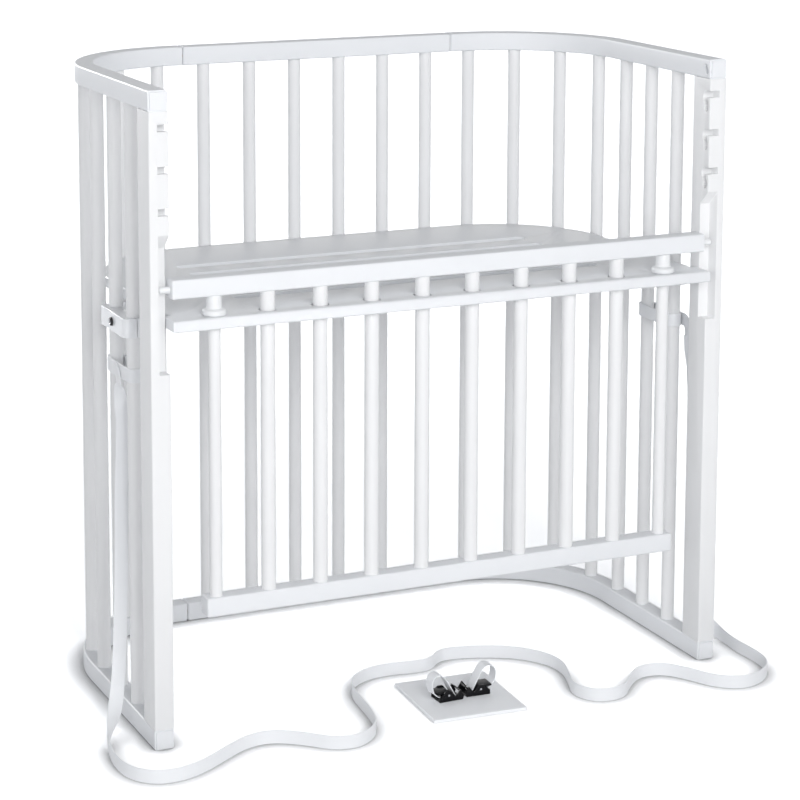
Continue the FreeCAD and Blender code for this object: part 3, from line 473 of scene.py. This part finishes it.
def recess_cutter(side):
    """The slanting slot with round ends that is milled in the top rail's front inner face."""
    foot_y, foot_z = RECESS_FOOT
    half = RECESS_WIDTH / 2
    head = (foot_y + RECESS_RISE / 2, foot_z + RECESS_RISE)
    around = [(foot_y, foot_z, 180 + 18 * k) for k in range(10)]
    around += [(*head, -18 + 18 * k) for k in range(10)]
    inner = side * (RAIL_MIDDLE[0] - RAIL_WIDTH / 2)
    work = bmesh.new()
    rings = []
    for x in (inner - side * RECESS_OVERCUT, inner + side * RECESS_DEPTH):
        ring = []
        for y, z, angle in around:
            turn = math.radians(angle)
            ring.append(work.verts.new((x, y + half * math.cos(turn), z + half * math.sin(turn))))
        rings.append(ring)
    count = len(around)
    for k in range(count):
        after = (k + 1) % count
        work.faces.new((rings[0][k], rings[0][after], rings[1][after], rings[1][k]))
    work.faces.new(rings[0])
    work.faces.new(list(reversed(rings[1])))
    bmesh.ops.recalc_face_normals(work, faces=work.faces)
    mesh = bpy.data.meshes.new("recess_cutter")
    work.to_mesh(mesh)
    work.free()
    return mesh


def cut_away(mesh, cutter):
    """The mesh without the cutter's shape, as one plain mesh."""
    holder = bpy.data.objects.new("cut_piece", mesh)
    tool = bpy.data.objects.new("cut_tool", cutter)
    for item in (holder, tool):
        bpy.context.scene.collection.objects.link(item)
    step = holder.modifiers.new("cut", "BOOLEAN")
    step.operation = "DIFFERENCE"
    step.solver = "EXACT"
    step.object = tool
    depsgraph = bpy.context.evaluated_depsgraph_get()
    result = bpy.data.meshes.new_from_object(holder.evaluated_get(depsgraph))
    for item in (holder, tool):
        bpy.data.objects.remove(item)
    return result


def rails():
    middle_x, middle_y = RAIL_MIDDLE
    for level in ("base_rail", "top_rail"):
        low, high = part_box(level + "_back")
        z = (low.z + high.z) / 2
        side_end, back_end = RAIL_JOINT + JOINT_GAP, RAIL_JOINT - JOINT_GAP
        side = [(-middle_x, RAIL_FRONT, z), (-middle_x, middle_y, z), (-side_end, middle_y, z)]
        back = [(-back_end, middle_y, z), (back_end, middle_y, z)]
        other = [(-x, y, z) for x, y, z in side]
        for part, route, hand in (("_left", side, -1), ("_back", back, 0), ("_right", other, 1)):
            grain = "Y" if hand else "X"
            mesh = rounded_ends(rail_mesh(level + part + "_wood", route, lacquer[grain]))
            if hand and level == "top_rail":
                mesh = cut_away(mesh, recess_cutter(hand))
                soften(mesh)
            name = level + part
            add_piece(name + "_wood", mesh, "frame", lacquer[grain], "lacquered_wood", name)


def raw_beech():
    """Bare beech of the hidden dowels."""
    paint = Finish("raw_beech")
    grain = paint.noise(paint.place((8.0, 8.0, 1.0)), BEECH_FINENESS, 3.0)
    return paint.surface(Base_Color=paint.blend(grain, BEECH_DEEP, BEECH_LIGHT), Roughness=0.6)


def refinish(node, finish):
    """Gives a CAD node that stays as it is a better material."""
    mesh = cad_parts[node].data
    mesh.materials.clear()
    mesh.materials.append(finish)


rails()
beech = raw_beech()
refinish("rail_joint_dowels", beech)


# ---- Round bars of the frame ----------------------------------------------------------------
# Twenty turned beech bars stand in blind bores between the two rails, spaced evenly along the
# rails' middle line and lacquered with them.

BAR_ROUNDNESS = 40
SPINDLE_PITCH = 0.0755
SPINDLE_COUNT = 20


def bars_on_points(tree, places):
    """The last steps of a tree that stands an upright lacquered bar on each point."""
    sizes = {"Radius": tree.size("Radius"), "Depth": tree.size("Height")}
    bar = tree.node("GeometryNodeMeshCylinder", inputs={"Vertices": BAR_ROUNDNESS, **sizes})
    stood = tree.node("GeometryNodeInstanceOnPoints", inputs={"Points": places, "Instance": bar})
    real = tree.node("GeometryNodeRealizeInstances", inputs={"Geometry": stood})
    return tree.node("GeometryNodeSetMaterial", inputs={"Geometry": real, "Material": lacquer["Z"]})


def spindle_mesh():
    low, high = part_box("spindle_01")
    span = SPINDLE_PITCH * (SPINDLE_COUNT - 1)
    middle_x, middle_y = RAIL_MIDDLE
    corner_loss = RAIL_CORNER * (2 - math.pi / 2)
    route_length = 2 * (middle_x + middle_y - RAIL_FRONT - corner_loss)
    tree = Tree(
        "spindles",
        Corner=RAIL_CORNER,
        First=(route_length - span) / 2,
        Last=(route_length + span) / 2,
        Count=SPINDLE_COUNT,
        Radius=(high.x - low.x) / 2,
        Height=high.z - low.z,
    )
    bent = tree.node(
        "GeometryNodeFilletCurve", {"mode": "POLY"},
        {"Curve": tree.start.outputs[0], "Radius": tree.size("Corner"), "Count": 64},
    )
    trimmed = tree.node(
        "GeometryNodeTrimCurve", {"mode": "LENGTH"},
        {"Curve": bent, 4: tree.size("First"), 5: tree.size("Last")},
    )
    places = tree.node(
        "GeometryNodeCurveToPoints", inputs={"Curve": trimmed, "Count": tree.size("Count")}
    )
    painted = bars_on_points(tree, places)
    z = (low.z + high.z) / 2
    route = [
        (-middle_x, RAIL_FRONT, z), (-middle_x, middle_y, z),
        (middle_x, middle_y, z), (middle_x, RAIL_FRONT, z),
    ]
    mesh = tree.mesh(painted, start_line("spindles", route))
    soften(mesh)
    return mesh


spindle_nodes = ["spindle_%02d" % (index + 1) for index in range(SPINDLE_COUNT)]
add_piece("frame_bars", spindle_mesh(), "frame", lacquer["Z"], "lacquered_wood", *spindle_nodes)


# ---- Front posts ----------------------------------------------------------------------------
# Two square posts close the front of the U, doweled between its rails. Each has three hooked
# pockets for the gate's pins and a long step with a ramp, milled into its front inner edge.

POST_EDGE = 0.0009

for side in ("left", "right"):
    post = merged_copy("front_post_" + side)
    bevelled(post, POST_EDGE, 2)
    soften(post)
    name = "front_post_" + side
    add_piece("post_" + side + "_wood", post, "frame", lacquer["Z"], "lacquered_wood", name)
refinish("post_dowels", beech)


# ---- Mattress board -------------------------------------------------------------------------
# A lacquered board with five long ventilation slots, and ten holes in its front strip that the
# gate's bars run through.

BOARD_EDGE = 0.0006
BOARD_CRISP_FROM = 30.0
BOARD_ROUGH = 0.26
BOARD_COAT = 0.18

board = merged_copy("mattress_board")
bevelled(board, BOARD_EDGE, 2, BOARD_CRISP_FROM)
soften(board)
board_lacquer = white_lacquer("board_lacquer", "X", BOARD_ROUGH, BOARD_COAT)
add_piece("board_wood", board, "platform", board_lacquer, "lacquered_wood", "mattress_board")


# ---- Clamp brackets and screws --------------------------------------------------------------
# A two-part clamp grips the first two bars at each side, pulled together by one black
# socket-head screw, and carries the board. Its outer edges are well rounded and polished.

CLAMP_EDGE = 0.0028
CLAMP_EDGE_STEPS = 4
CLAMP_CRISP_FROM = 50.0
CLAMP_ROUGH = 0.26
CLAMP_COAT = 0.45
CLAMP_SCREW_PLACE = (-0.450, -0.09795, 0.5695)
CLAMP_SCREW_HEAD = 0.0063
CLAMP_SCREW_SOCKET = 0.0025
CLAMP_SCREW_SHANK = 0.0025
CLAMP_SCREW_LENGTH = 0.0368
CLAMP_SCREW_DOME = (
    (1.0, 0.0009), (0.95, 0.0017), (0.84, 0.0025), (0.68, 0.0031), (0.56, 0.0033), (0.52, 0.0032),
)
SOCKET_FLOOR = 0.0007
SOCKET_DEEPEST = 0.0004
SOCKET_RIM = 0.0031
LATHE_STEPS = 48
OXIDE_DEEP = (0.012, 0.012, 0.013)
OXIDE_LIGHT = (0.03, 0.03, 0.032)
ZINC_WITH_GLINT_DEEP = (0.5, 0.51, 0.53)
ZINC_WITH_GLINT_LIGHT = (0.62, 0.63, 0.65)

clamp_lacquer = white_lacquer("clamp_lacquer", "Y", CLAMP_ROUGH, CLAMP_COAT)
for side in ("left", "right"):
    for half in ("outer", "inner"):
        node = "clamp_" + half + "_" + side
        clamp = merged_copy(node)
        bevelled(clamp, CLAMP_EDGE, CLAMP_EDGE_STEPS, CLAMP_CRISP_FROM)
        soften(clamp)
        add_piece(node + "_wood", clamp, "platform", clamp_lacquer, "lacquered_wood", node)


def lathe(work, rings, centre, axis, close=False):
    """Joins rings round an axis. A ring is a radius, or a function of angle, and a height."""
    along = Vector(axis)
    first = along.orthogonal().normalized()
    second = along.cross(first)
    rows = []
    for radius, height in rings:
        row = []
        for k in range(LATHE_STEPS):
            angle = 2 * math.pi * k / LATHE_STEPS
            reach = radius(angle) if callable(radius) else radius
            out = first * math.cos(angle) + second * math.sin(angle)
            row.append(work.verts.new(Vector(centre) + out * reach + along * height))
        rows.append(row)
    pairs = list(zip(rows, rows[1:])) + ([(rows[-1], rows[0])] if close else [])
    for lower, upper in pairs:
        for k in range(LATHE_STEPS):
            after = (k + 1) % LATHE_STEPS
            work.faces.new((lower[k], lower[after], upper[after], upper[k]))
    if not close:
        work.faces.new(rows[0])
        work.faces.new(list(reversed(rows[-1])))


def hexagon(across):
    """The radius of a hexagon at each angle, from its width across flats."""
    return lambda angle: across / 2 / math.cos((angle + math.pi / 6) % (math.pi / 3) - math.pi / 6)


def clamp_screws():
    """Button heads with a hexagon socket, on shanks that go through both clamp halves."""
    head = CLAMP_SCREW_HEAD
    socket = hexagon(2 * CLAMP_SCREW_SOCKET)
    rings = [(CLAMP_SCREW_SHANK, -CLAMP_SCREW_LENGTH), (CLAMP_SCREW_SHANK, 0.0)]
    rings += [(head - 0.0004, 0.0), (head, 0.0004)]
    rings += [(head * share, rise) for share, rise in CLAMP_SCREW_DOME]
    rings += [(socket, 0.0027), (socket, SOCKET_FLOOR), (0.0008, 0.0003)]
    work = bmesh.new()
    x, y, z = CLAMP_SCREW_PLACE
    lathe(work, rings, (x, y, z), (-1.0, 0.0, 0.0))
    lathe(work, rings, (-x, y, z), (1.0, 0.0, 0.0))
    bmesh.ops.recalc_face_normals(work, faces=work.faces)
    mesh = bpy.data.meshes.new("clamp_screws_black")
    work.to_mesh(mesh)
    work.free()
    soften(mesh, 40.0)
    return mesh


def black_steel():
    """Black oxide on a steel screw."""
    paint = Finish("black_oxide")
    speck = paint.noise(paint.place(), 1500.0, 2.0)
    return paint.surface(
        Base_Color=paint.blend(speck, OXIDE_DEEP, OXIDE_LIGHT),
        Metallic=0.85,
        Roughness=0.38 + speck * 0.15,
    )


def zinc_with_glint_finish():
    """Bright zinc on the hidden screws and pins, also a painted glint in the clamp screws' sockets.
    """
    paint = Finish("zinc")
    speck = paint.noise(paint.place(), 1200.0, 2.0)
    return paint.surface(
        Base_Color=paint.blend(speck, ZINC_WITH_GLINT_DEEP, ZINC_WITH_GLINT_LIGHT),
        Metallic=1.0,
        Roughness=0.3 + speck * 0.15,
    )


zinc_with_glint = zinc_with_glint_finish()
screws = add_piece(
    "clamp_screws_black", clamp_screws(), "platform", black_steel(), "black_screw", "clamp_screws"
)
# Painted glint: each clamp screw's socket walls take the bright zinc finish instead of black oxide,
# so they show as light glints.
screws.data.materials.append(zinc_with_glint)
for face in screws.data.polygons:
    beyond = abs(face.center.x) + CLAMP_SCREW_PLACE[0]
    from_axis = math.dist(face.center.yz, CLAMP_SCREW_PLACE[1:])
    if from_axis < CLAMP_SCREW_SOCKET * 1.25 and SOCKET_DEEPEST < beyond < SOCKET_RIM:
        face.material_index = 1
refinish("board_screws", zinc_with_glint)


# ---- Gate bushings --------------------------------------------------------------------------
# White moulded plastic bushings with a broad rounded flange sit in the board's two end holes.
# The gate's end bars slide in them, and the gate's top rail rests on their necks.

BUSHING_PLACE_Y = -0.235
BUSHING_FLANGE = 0.0165
BUSHING_BORE = 0.0091
PLASTIC_GRIT_FINENESS = 1800.0
PLASTIC_CLOUD_FINENESS = 30.0
PLASTIC_RELIEF = 0.00004


def moulded_plastic(name, low, high, roughness, shine=0.5):
    """Moulded plastic with a fine texture from the tool."""
    paint = Finish(name)
    grit = paint.noise(paint.place(), PLASTIC_GRIT_FINENESS, 2.0)
    cloud = paint.noise(paint.place(), PLASTIC_CLOUD_FINENESS, 1.0)
    return paint.surface(
        Base_Color=paint.blend(cloud, low, high),
        Roughness=roughness + grit * 0.12,
        Specular_IOR_Level=shine,
        Normal=paint.bump(grit, PLASTIC_RELIEF, 0.4),
    )


def bushings():
    """A rounded flange with a slightly dished top, a long neck and a sleeve in the board."""
    low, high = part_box("gate_bushings")
    board_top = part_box("mattress_board")[1].z
    flange, bore = BUSHING_FLANGE, BUSHING_BORE
    rings = [
        (flange - 0.0006, 0.0001), (flange, 0.0008), (flange, 0.0048), (flange * 0.985, 0.0060),
        (flange * 0.945, 0.0070), (flange * 0.88, 0.0077), (flange * 0.80, 0.0081), (0.0119, 0.0086),
        (0.0110, 0.0092), (0.0107, 0.0104), (0.01015, 0.0262), (0.0099, 0.0268), (0.0096, 0.0270),
        (bore, 0.0267), (bore, -0.0160), (0.0125, -0.0160), (0.0128, -0.0156), (0.0128, 0.0001),
    ]
    work = bmesh.new()
    for x in (low.x + flange, high.x - flange):
        lathe(work, rings, (x, BUSHING_PLACE_Y, board_top), (0.0, 0.0, 1.0), close=True)
    bmesh.ops.recalc_face_normals(work, faces=work.faces)
    mesh = bpy.data.meshes.new("bushings_moulded")
    work.to_mesh(mesh)
    work.free()
    soften(mesh, 40.0)
    return mesh


white_plastic = moulded_plastic("white_plastic", (0.80, 0.81, 0.82), (0.84, 0.85, 0.86), 0.34)
add_piece(
    "bushings_moulded", bushings(), "platform", white_plastic, "white_plastic", "gate_bushings"
)


# ---- Gate -----------------------------------------------------------------------------------
# The gate is a ladder of ten round bars between two rails, all lacquered. A round pin in each
# end of the top rail hooks into the posts' pockets.

BAR_COUNT = 10
GATE_RAIL_ROUND = 0.0028


def gate_rail(node, name):
    low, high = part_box(node)
    mesh = bpy.data.meshes.new(name)
    work = bmesh.new()
    bmesh.ops.create_cube(work, size=1.0)
    for vertex in work.verts:
        vertex.co = Vector(
            ((low[k] + high[k]) / 2 + vertex.co[k] * (high[k] - low[k]) for k in range(3))
        )
    bmesh.ops.bevel(
        work, geom=list(work.edges), offset=GATE_RAIL_ROUND, segments=5, profile=0.5, affect="EDGES"
    )
    bmesh.ops.recalc_face_normals(work, faces=work.faces)
    work.to_mesh(mesh)
    work.free()
    soften(mesh)
    add_piece(name, mesh, "gate", lacquer["X"], "lacquered_wood", node)


def gate_bars():
    first_low, first_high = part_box("gate_bar_02")
    end_low, end_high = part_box("gate_bar_01")
    middle_z = (first_low.z + first_high.z) / 2
    middle_y = (first_low.y + first_high.y) / 2
    inner = Tree(
        "gate_inner_bars", Count=BAR_COUNT - 2, Radius=(first_high.x - first_low.x) / 2,
        Height=first_high.z - first_low.z,
    )
    outer = Tree(
        "gate_end_bars", Count=2, Radius=(end_high.x - end_low.x) / 2, Height=end_high.z - end_low.z
    )
    inner_x = (first_low.x + first_high.x) / 2
    outer_x = (end_low.x + end_high.x) / 2
    joined = bmesh.new()
    for tree, x in ((inner, inner_x), (outer, outer_x)):
        places = tree.node(
            "GeometryNodeCurveToPoints",
            inputs={"Curve": tree.start.outputs[0], "Count": tree.size("Count")},
        )
        painted = bars_on_points(tree, places)
        route = [(x, middle_y, middle_z), (-x, middle_y, middle_z)]
        joined.from_mesh(tree.mesh(painted, start_line(tree.group.name, route)))
    mesh = bpy.data.meshes.new("gate_bars")
    joined.to_mesh(mesh)
    joined.free()
    soften(mesh)
    nodes = ["gate_bar_%02d" % (index + 1) for index in range(BAR_COUNT)]
    add_piece("gate_bars", mesh, "gate", lacquer["Z"], "lacquered_wood", *nodes)


gate_rail("gate_top_rail", "gate_top_wood")
gate_rail("gate_bottom_rail", "gate_bottom_wood")
gate_bars()
pins = merged_copy("gate_pins")
soften(pins)
add_piece("gate_pins_turned", pins, "gate", white_plastic, "white_plastic", "gate_pins")


# ---- Webbing strap --------------------------------------------------------------------------
# One white polyester webbing is wound on two bars at each side. It hangs to the floor, turns
# onto its edge and lies in loose curves in front of the crib.

STRAP_WIDTH = 0.020
STRAP_THICKNESS = 0.0015
RIB_PITCH = 0.0011
WARP_PITCH = 0.0009
FUZZ_FINENESS = 2500.0
WEAVE_RELIEF = 0.00018
WEBBING_DEEP = (0.83, 0.845, 0.87)
WEBBING_LIGHT = (0.90, 0.91, 0.925)
SELVEDGE_FROM = 0.0088
SELVEDGE_SECTION = [
    (-0.5, 0.0), (-0.485, 0.42), (-0.44, 0.5), (-0.2, 0.5),
    (0.0, 0.5), (0.2, 0.5), (0.44, 0.5), (0.485, 0.42),
]
STRAP_Z = STRAP_WIDTH / 2
STRAP_FOLD = 0.012
STRAP_TOP = 0.501
STRAP_SIDE = 0.44405
STRAP_LEFT_FOLD_Y = -0.093
STRAP_RIGHT_FOLD_Y = -0.145
STRAP_FLOOR_ROUTE = [
    (-506.0, -231.0), (-513.0, -276.0), (-508.0, -322.0), (-481.0, -352.0), (-441.0, -354.0),
    (-400.0, -336.0), (-362.0, -309.0), (-326.0, -286.0), (-288.0, -281.0), (-250.0, -307.0),
    (-219.0, -340.0), (-181.0, -346.0), (-143.0, -316.0), (-131.0, -272.0), (-126.0, -228.0),
    (-122.0, -184.0), (-108.0, -146.0), (-74.0, -122.0), (-36.0, -117.0), (0.0, -124.0),
    (33.0, -124.0), (58.0, -94.0), (94.0, -97.0), (132.0, -110.0), (170.0, -130.0),
    (200.0, -168.0), (207.0, -210.0), (193.0, -254.0), (176.0, -296.0), (196.0, -333.0),
    (240.0, -334.0), (268.0, -300.0), (300.0, -271.0), (339.0, -274.0), (364.0, -310.0),
    (381.0, -347.0), (415.0, -371.0), (455.0, -362.0), (488.0, -330.0), (494.0, -284.0),
    (490.0, -238.0), (495.0, -200.0),
]
STRAP_LEFT_DROP = [
    ((-440.5, -103.5, 464.0), (0.71, -0.71, 0.0)),
    ((-437.5, -102.0, 440.0), (1.0, 0.0, 0.0)),
    ((-438.0, -103.0, 400.0), (1.0, 0.0, 0.0)),
    ((-441.6, -105.0, 330.0), (1.0, 0.0, 0.0)),
    ((-445.9, -115.0, 244.0), (1.0, 0.0, 0.0)),
    ((-452.0, -126.0, 150.0), (1.0, 0.0, 0.0)),
    ((-462.0, -144.0, 76.0), (1.0, 0.0, 0.0)),
    ((-472.0, -161.0, 44.0), (0.96, 0.0, 0.28)),
    ((-484.0, -182.0, 24.0), (0.8, 0.0, 0.6)),
    ((-496.0, -206.0, 13.0), (0.4, 0.0, 0.92)),
]
STRAP_RIGHT_DROP = [
    ((493.0, -178.0, 13.0), (0.4, 0.0, 0.92)),
    ((485.0, -164.0, 24.0), (0.8, 0.0, 0.6)),
    ((475.0, -157.0, 46.0), (0.96, 0.0, 0.28)),
    ((466.0, -155.0, 84.0), (1.0, 0.0, 0.0)),
    ((461.0, -155.0, 160.0), (1.0, 0.0, 0.0)),
    ((458.5, -155.0, 260.0), (1.0, 0.0, 0.0)),
    ((457.0, -156.0, 350.0), (1.0, 0.0, 0.0)),
    ((454.0, -157.0, 430.0), (1.0, 0.0, 0.0)),
    ((449.0, -157.0, 462.0), (0.71, -0.71, 0.0)),
]
MM = 0.001


def fold_route(side, fold_y):
    """Where the webbing turns from level to hanging: middles and width directions."""
    route = []
    for step in range(5):
        angle = math.radians(22.5 * step)
        across = Vector((0.0, -math.sin(angle), math.cos(angle)))
        pivot = Vector((side * STRAP_SIDE, fold_y, STRAP_TOP - STRAP_FOLD))
        route.append((pivot + across * STRAP_FOLD, across))
    return route


def strap_route():
    """The whole free stretch: its middles, and the direction of its width at each."""
    drop = [(Vector(middle) * MM, Vector(across)) for middle, across in STRAP_LEFT_DROP]
    up = Vector((0.0, 0.0, 1.0))
    floor = [(Vector((x * MM, y * MM, STRAP_Z)), up) for x, y in STRAP_FLOOR_ROUTE]
    rise = [(Vector(middle) * MM, Vector(across)) for middle, across in STRAP_RIGHT_DROP]
    left = fold_route(-1, STRAP_LEFT_FOLD_Y)
    right = fold_route(1, STRAP_RIGHT_FOLD_Y)
    right.reverse()
    return left + drop + floor + rise + right


def smooth_line(name, points):
    """Points along the smooth spline that has these control points."""
    curve = bpy.data.curves.new(name, "CURVE")
    curve.dimensions = "3D"
    curve.resolution_u = 8
    spline = curve.splines.new("NURBS")
    spline.points.add(len(points) - 1)
    for point, place in zip(spline.points, points):
        point.co = (*place, 1.0)
    spline.order_u = 3
    spline.use_endpoint_u = True
    spline.resolution_u = 8
    holder = bpy.data.objects.new(name, curve)
    bpy.context.scene.collection.objects.link(holder)
    depsgraph = bpy.context.evaluated_depsgraph_get()
    line = bpy.data.meshes.new_from_object(holder.evaluated_get(depsgraph))
    places = [vertex.co.copy() for vertex in line.vertices]
    bpy.data.objects.remove(holder)
    return places


def nearest_across(place, route):
    """The width direction at a place, between those of the two nearest route points."""
    ranked = sorted(route, key=lambda item: (item[0] - place).length)[:2]
    first = 1 / ((ranked[0][0] - place).length + 1e-5)
    second = 1 / ((ranked[1][0] - place).length + 1e-5)
    return (ranked[0][1] * first + ranked[1][1] * second).normalized()


def ribbon(name, places, across_at, width, thickness):
    """A flat woven band along a line, with rounded selvedges and a map of its length."""
    section = SELVEDGE_SECTION + [(-u, -v) for u, v in SELVEDGE_SECTION]
    work = bmesh.new()
    layer = work.loops.layers.uv.new("webbing")
    rings = []
    reach = 0.0
    lengths = []
    for i, place in enumerate(places):
        ahead = places[min(i + 1, len(places) - 1)]
        behind = places[max(i - 1, 0)]
        run = (ahead - behind).normalized()
        across = across_at(i, place)
        across = (across - run * across.dot(run)).normalized()
        through = run.cross(across)
        if i:
            reach += (place - places[i - 1]).length
        lengths.append(reach)
        rings.append([
            work.verts.new(place + across * (u * width) + through * (v * thickness))
            for u, v in section
        ])
    count = len(section)
    for i in range(len(rings) - 1):
        for k in range(count):
            after = (k + 1) % count
            corners = ((i, k), (i, after), (i + 1, after), (i + 1, k))
            face = work.faces.new([rings[step][corner] for step, corner in corners])
            for loop, (step, corner) in zip(face.loops, corners):
                loop[layer].uv = (lengths[step], section[corner][0] * width)
    work.faces.new(rings[0])
    work.faces.new(list(reversed(rings[-1])))
    bmesh.ops.recalc_face_normals(work, faces=work.faces)
    mesh = bpy.data.meshes.new(name)
    work.to_mesh(mesh)
    work.free()
    soften(mesh, 60.0)
    return mesh


def woven_polyester():
    """White webbing: crosswise ribs, lengthwise rows of warp and a firmer selvedge."""
    paint = Finish("white_webbing")
    spot = paint.along("webbing")
    length = paint.node("ShaderNodeSeparateXYZ", inputs={"Vector": spot}, output="X")
    width = paint.node("ShaderNodeSeparateXYZ", inputs={"Vector": spot}, output="Y")
    ribs = (length * (2 * math.pi / RIB_PITCH)).sine() * 0.5 + 0.5
    warp = (width * (2 * math.pi / WARP_PITCH)).sine() * 0.5 + 0.5
    fuzz = paint.noise(paint.place(), FUZZ_FINENESS, 2.0)
    weave = ribs * 0.55 + warp * 0.3 + fuzz * 0.15
    edge = width.size().above(SELVEDGE_FROM)
    return paint.surface(
        Base_Color=paint.blend(weave, WEBBING_DEEP, WEBBING_LIGHT),
        Roughness=0.72 - edge * 0.1,
        Normal=paint.bump(weave * (1 - edge * 0.6), WEAVE_RELIEF, 0.6),
        Sheen_Weight=0.15,
    )


webbing = woven_polyester()
route = strap_route()
line = smooth_line("strap_line", [middle for middle, across in route])
strap_mesh = ribbon(
    "strap_webbing", line, lambda i, place: nearest_across(place, route),
    STRAP_WIDTH, STRAP_THICKNESS,
)
strap = add_piece("strap_webbing", strap_mesh, "frame", webbing, "webbing", "strap")

BAR_RADIUS_TO_WRAP = 0.01105
WRAP_LAYER = 0.0020
WRAP_BARS = (-0.1357, -0.0602)
WRAP_START = 0.030
WRAP_STEP = (0.006, 0.038)


def half_turn(x, y, radius, start):
    """Control points of a half turn round a bar."""
    reach = radius / math.cos(math.pi / 8)
    angles = [math.radians(start + 22.5 + 45 * k) for k in range(4)]
    return [(x + reach * math.cos(angle), y + reach * math.sin(angle)) for angle in angles]


def winding(side, fold_y):
    """The strap's two layers round the first two bars, up to the fold."""
    x = -RAIL_MIDDLE[0]
    front, back = WRAP_BARS
    inner, outer = BAR_RADIUS_TO_WRAP, BAR_RADIUS_TO_WRAP + WRAP_LAYER
    flat = [(x + inner, back - WRAP_START)]
    flat += half_turn(x, back, inner, 0) + half_turn(x, front, inner, 180)
    flat += [(x + inner, front + WRAP_STEP[0]), (x + outer, front + WRAP_STEP[1])]
    flat += half_turn(x, back, outer, 0) + [(x - outer, fold_y)]
    points = [(-side * along, y, STRAP_TOP) for along, y in flat]
    up = Vector((0.0, 0.0, 1.0))
    places = smooth_line("winding_line", points)
    return ribbon("winding", places, lambda i, place: up, STRAP_WIDTH, STRAP_THICKNESS)


for name, side, fold_y in (("left", -1, STRAP_LEFT_FOLD_Y), ("right", 1, STRAP_RIGHT_FOLD_Y)):
    turns = winding(side, fold_y)
    add_piece("strap_winding_" + name, turns, "frame", webbing, "webbing", "strap_wrap_" + name)


# ---- Pad and buckles ------------------------------------------------------------------------
# A thin white pad lies loose on the floor with two black cam buckles on it. Each buckle has a
# toothed lever on a steel pin and a short loop of the same webbing.

BUCKLE_EDGE = 0.0003
BUCKLE_PLACES = ((19.5, -240.0, 182.0), (28.6, -236.0, -2.0))
BUCKLE_BASE = 4.5
LOOP_ROUTES = (
    (
        (8.6, 3.4), (15.0, 14.0), (25.0, 32.0), (35.0, 41.0),
        (46.0, 36.0), (47.5, 22.0), (43.0, 9.0), (28.5, 3.4),
    ),
    (
        (8.6, 3.4), (15.0, 15.0), (24.0, 33.0), (32.0, 42.5),
        (45.0, 40.0), (49.0, 27.0), (43.0, 10.0), (28.5, 3.4),
    ),
)

pad_plastic = moulded_plastic("pad_plastic", (0.91, 0.925, 0.945), (0.94, 0.95, 0.965), 0.42)
pad = merged_copy("pad")
soften(pad)
add_piece("pad_plate", pad, "frame", pad_plastic, "pad_board", "pad")
black_plastic = moulded_plastic(
    "black_plastic", (0.004, 0.004, 0.005), (0.007, 0.007, 0.008), 0.24, 0.14
)
for node, name, body in (
    ("buckle_bodies", "buckles_moulded", "frame"),
    ("buckle_lever_left", "lever_left_moulded", "lever_left"),
    ("buckle_lever_right", "lever_right_moulded", "lever_right"),
):
    moulded = merged_copy(node)
    bevelled(moulded, BUCKLE_EDGE, 2)
    soften(moulded)
    add_piece(name, moulded, body, black_plastic, "black_plastic", node)


def webbing_loops():
    """A loop of webbing through each buckle: in over the floor and back in under the lever."""
    joined = bmesh.new()
    for (x, y, angle), loop in zip(BUCKLE_PLACES, LOOP_ROUTES):
        turn = Matrix.Rotation(math.radians(angle), 4, "Z")
        place = Matrix.Translation((x * MM, y * MM, BUCKLE_BASE * MM)) @ turn
        across = place.to_3x3() @ Vector((0.0, 1.0, 0.0))
        points = [place @ Vector((along * MM, 0.0, up * MM)) for along, up in loop]
        places = smooth_line("loop_line", points)
        joined.from_mesh(
            ribbon("loop", places, lambda i, spot: across, STRAP_WIDTH, STRAP_THICKNESS)
        )
    mesh = bpy.data.meshes.new("loops_webbing")
    joined.to_mesh(mesh)
    joined.free()
    soften(mesh, 60.0)
    return mesh


add_piece("loops_webbing", webbing_loops(), "frame", webbing, "webbing", "webbing_loops")
refinish("buckle_pins", zinc_with_glint)
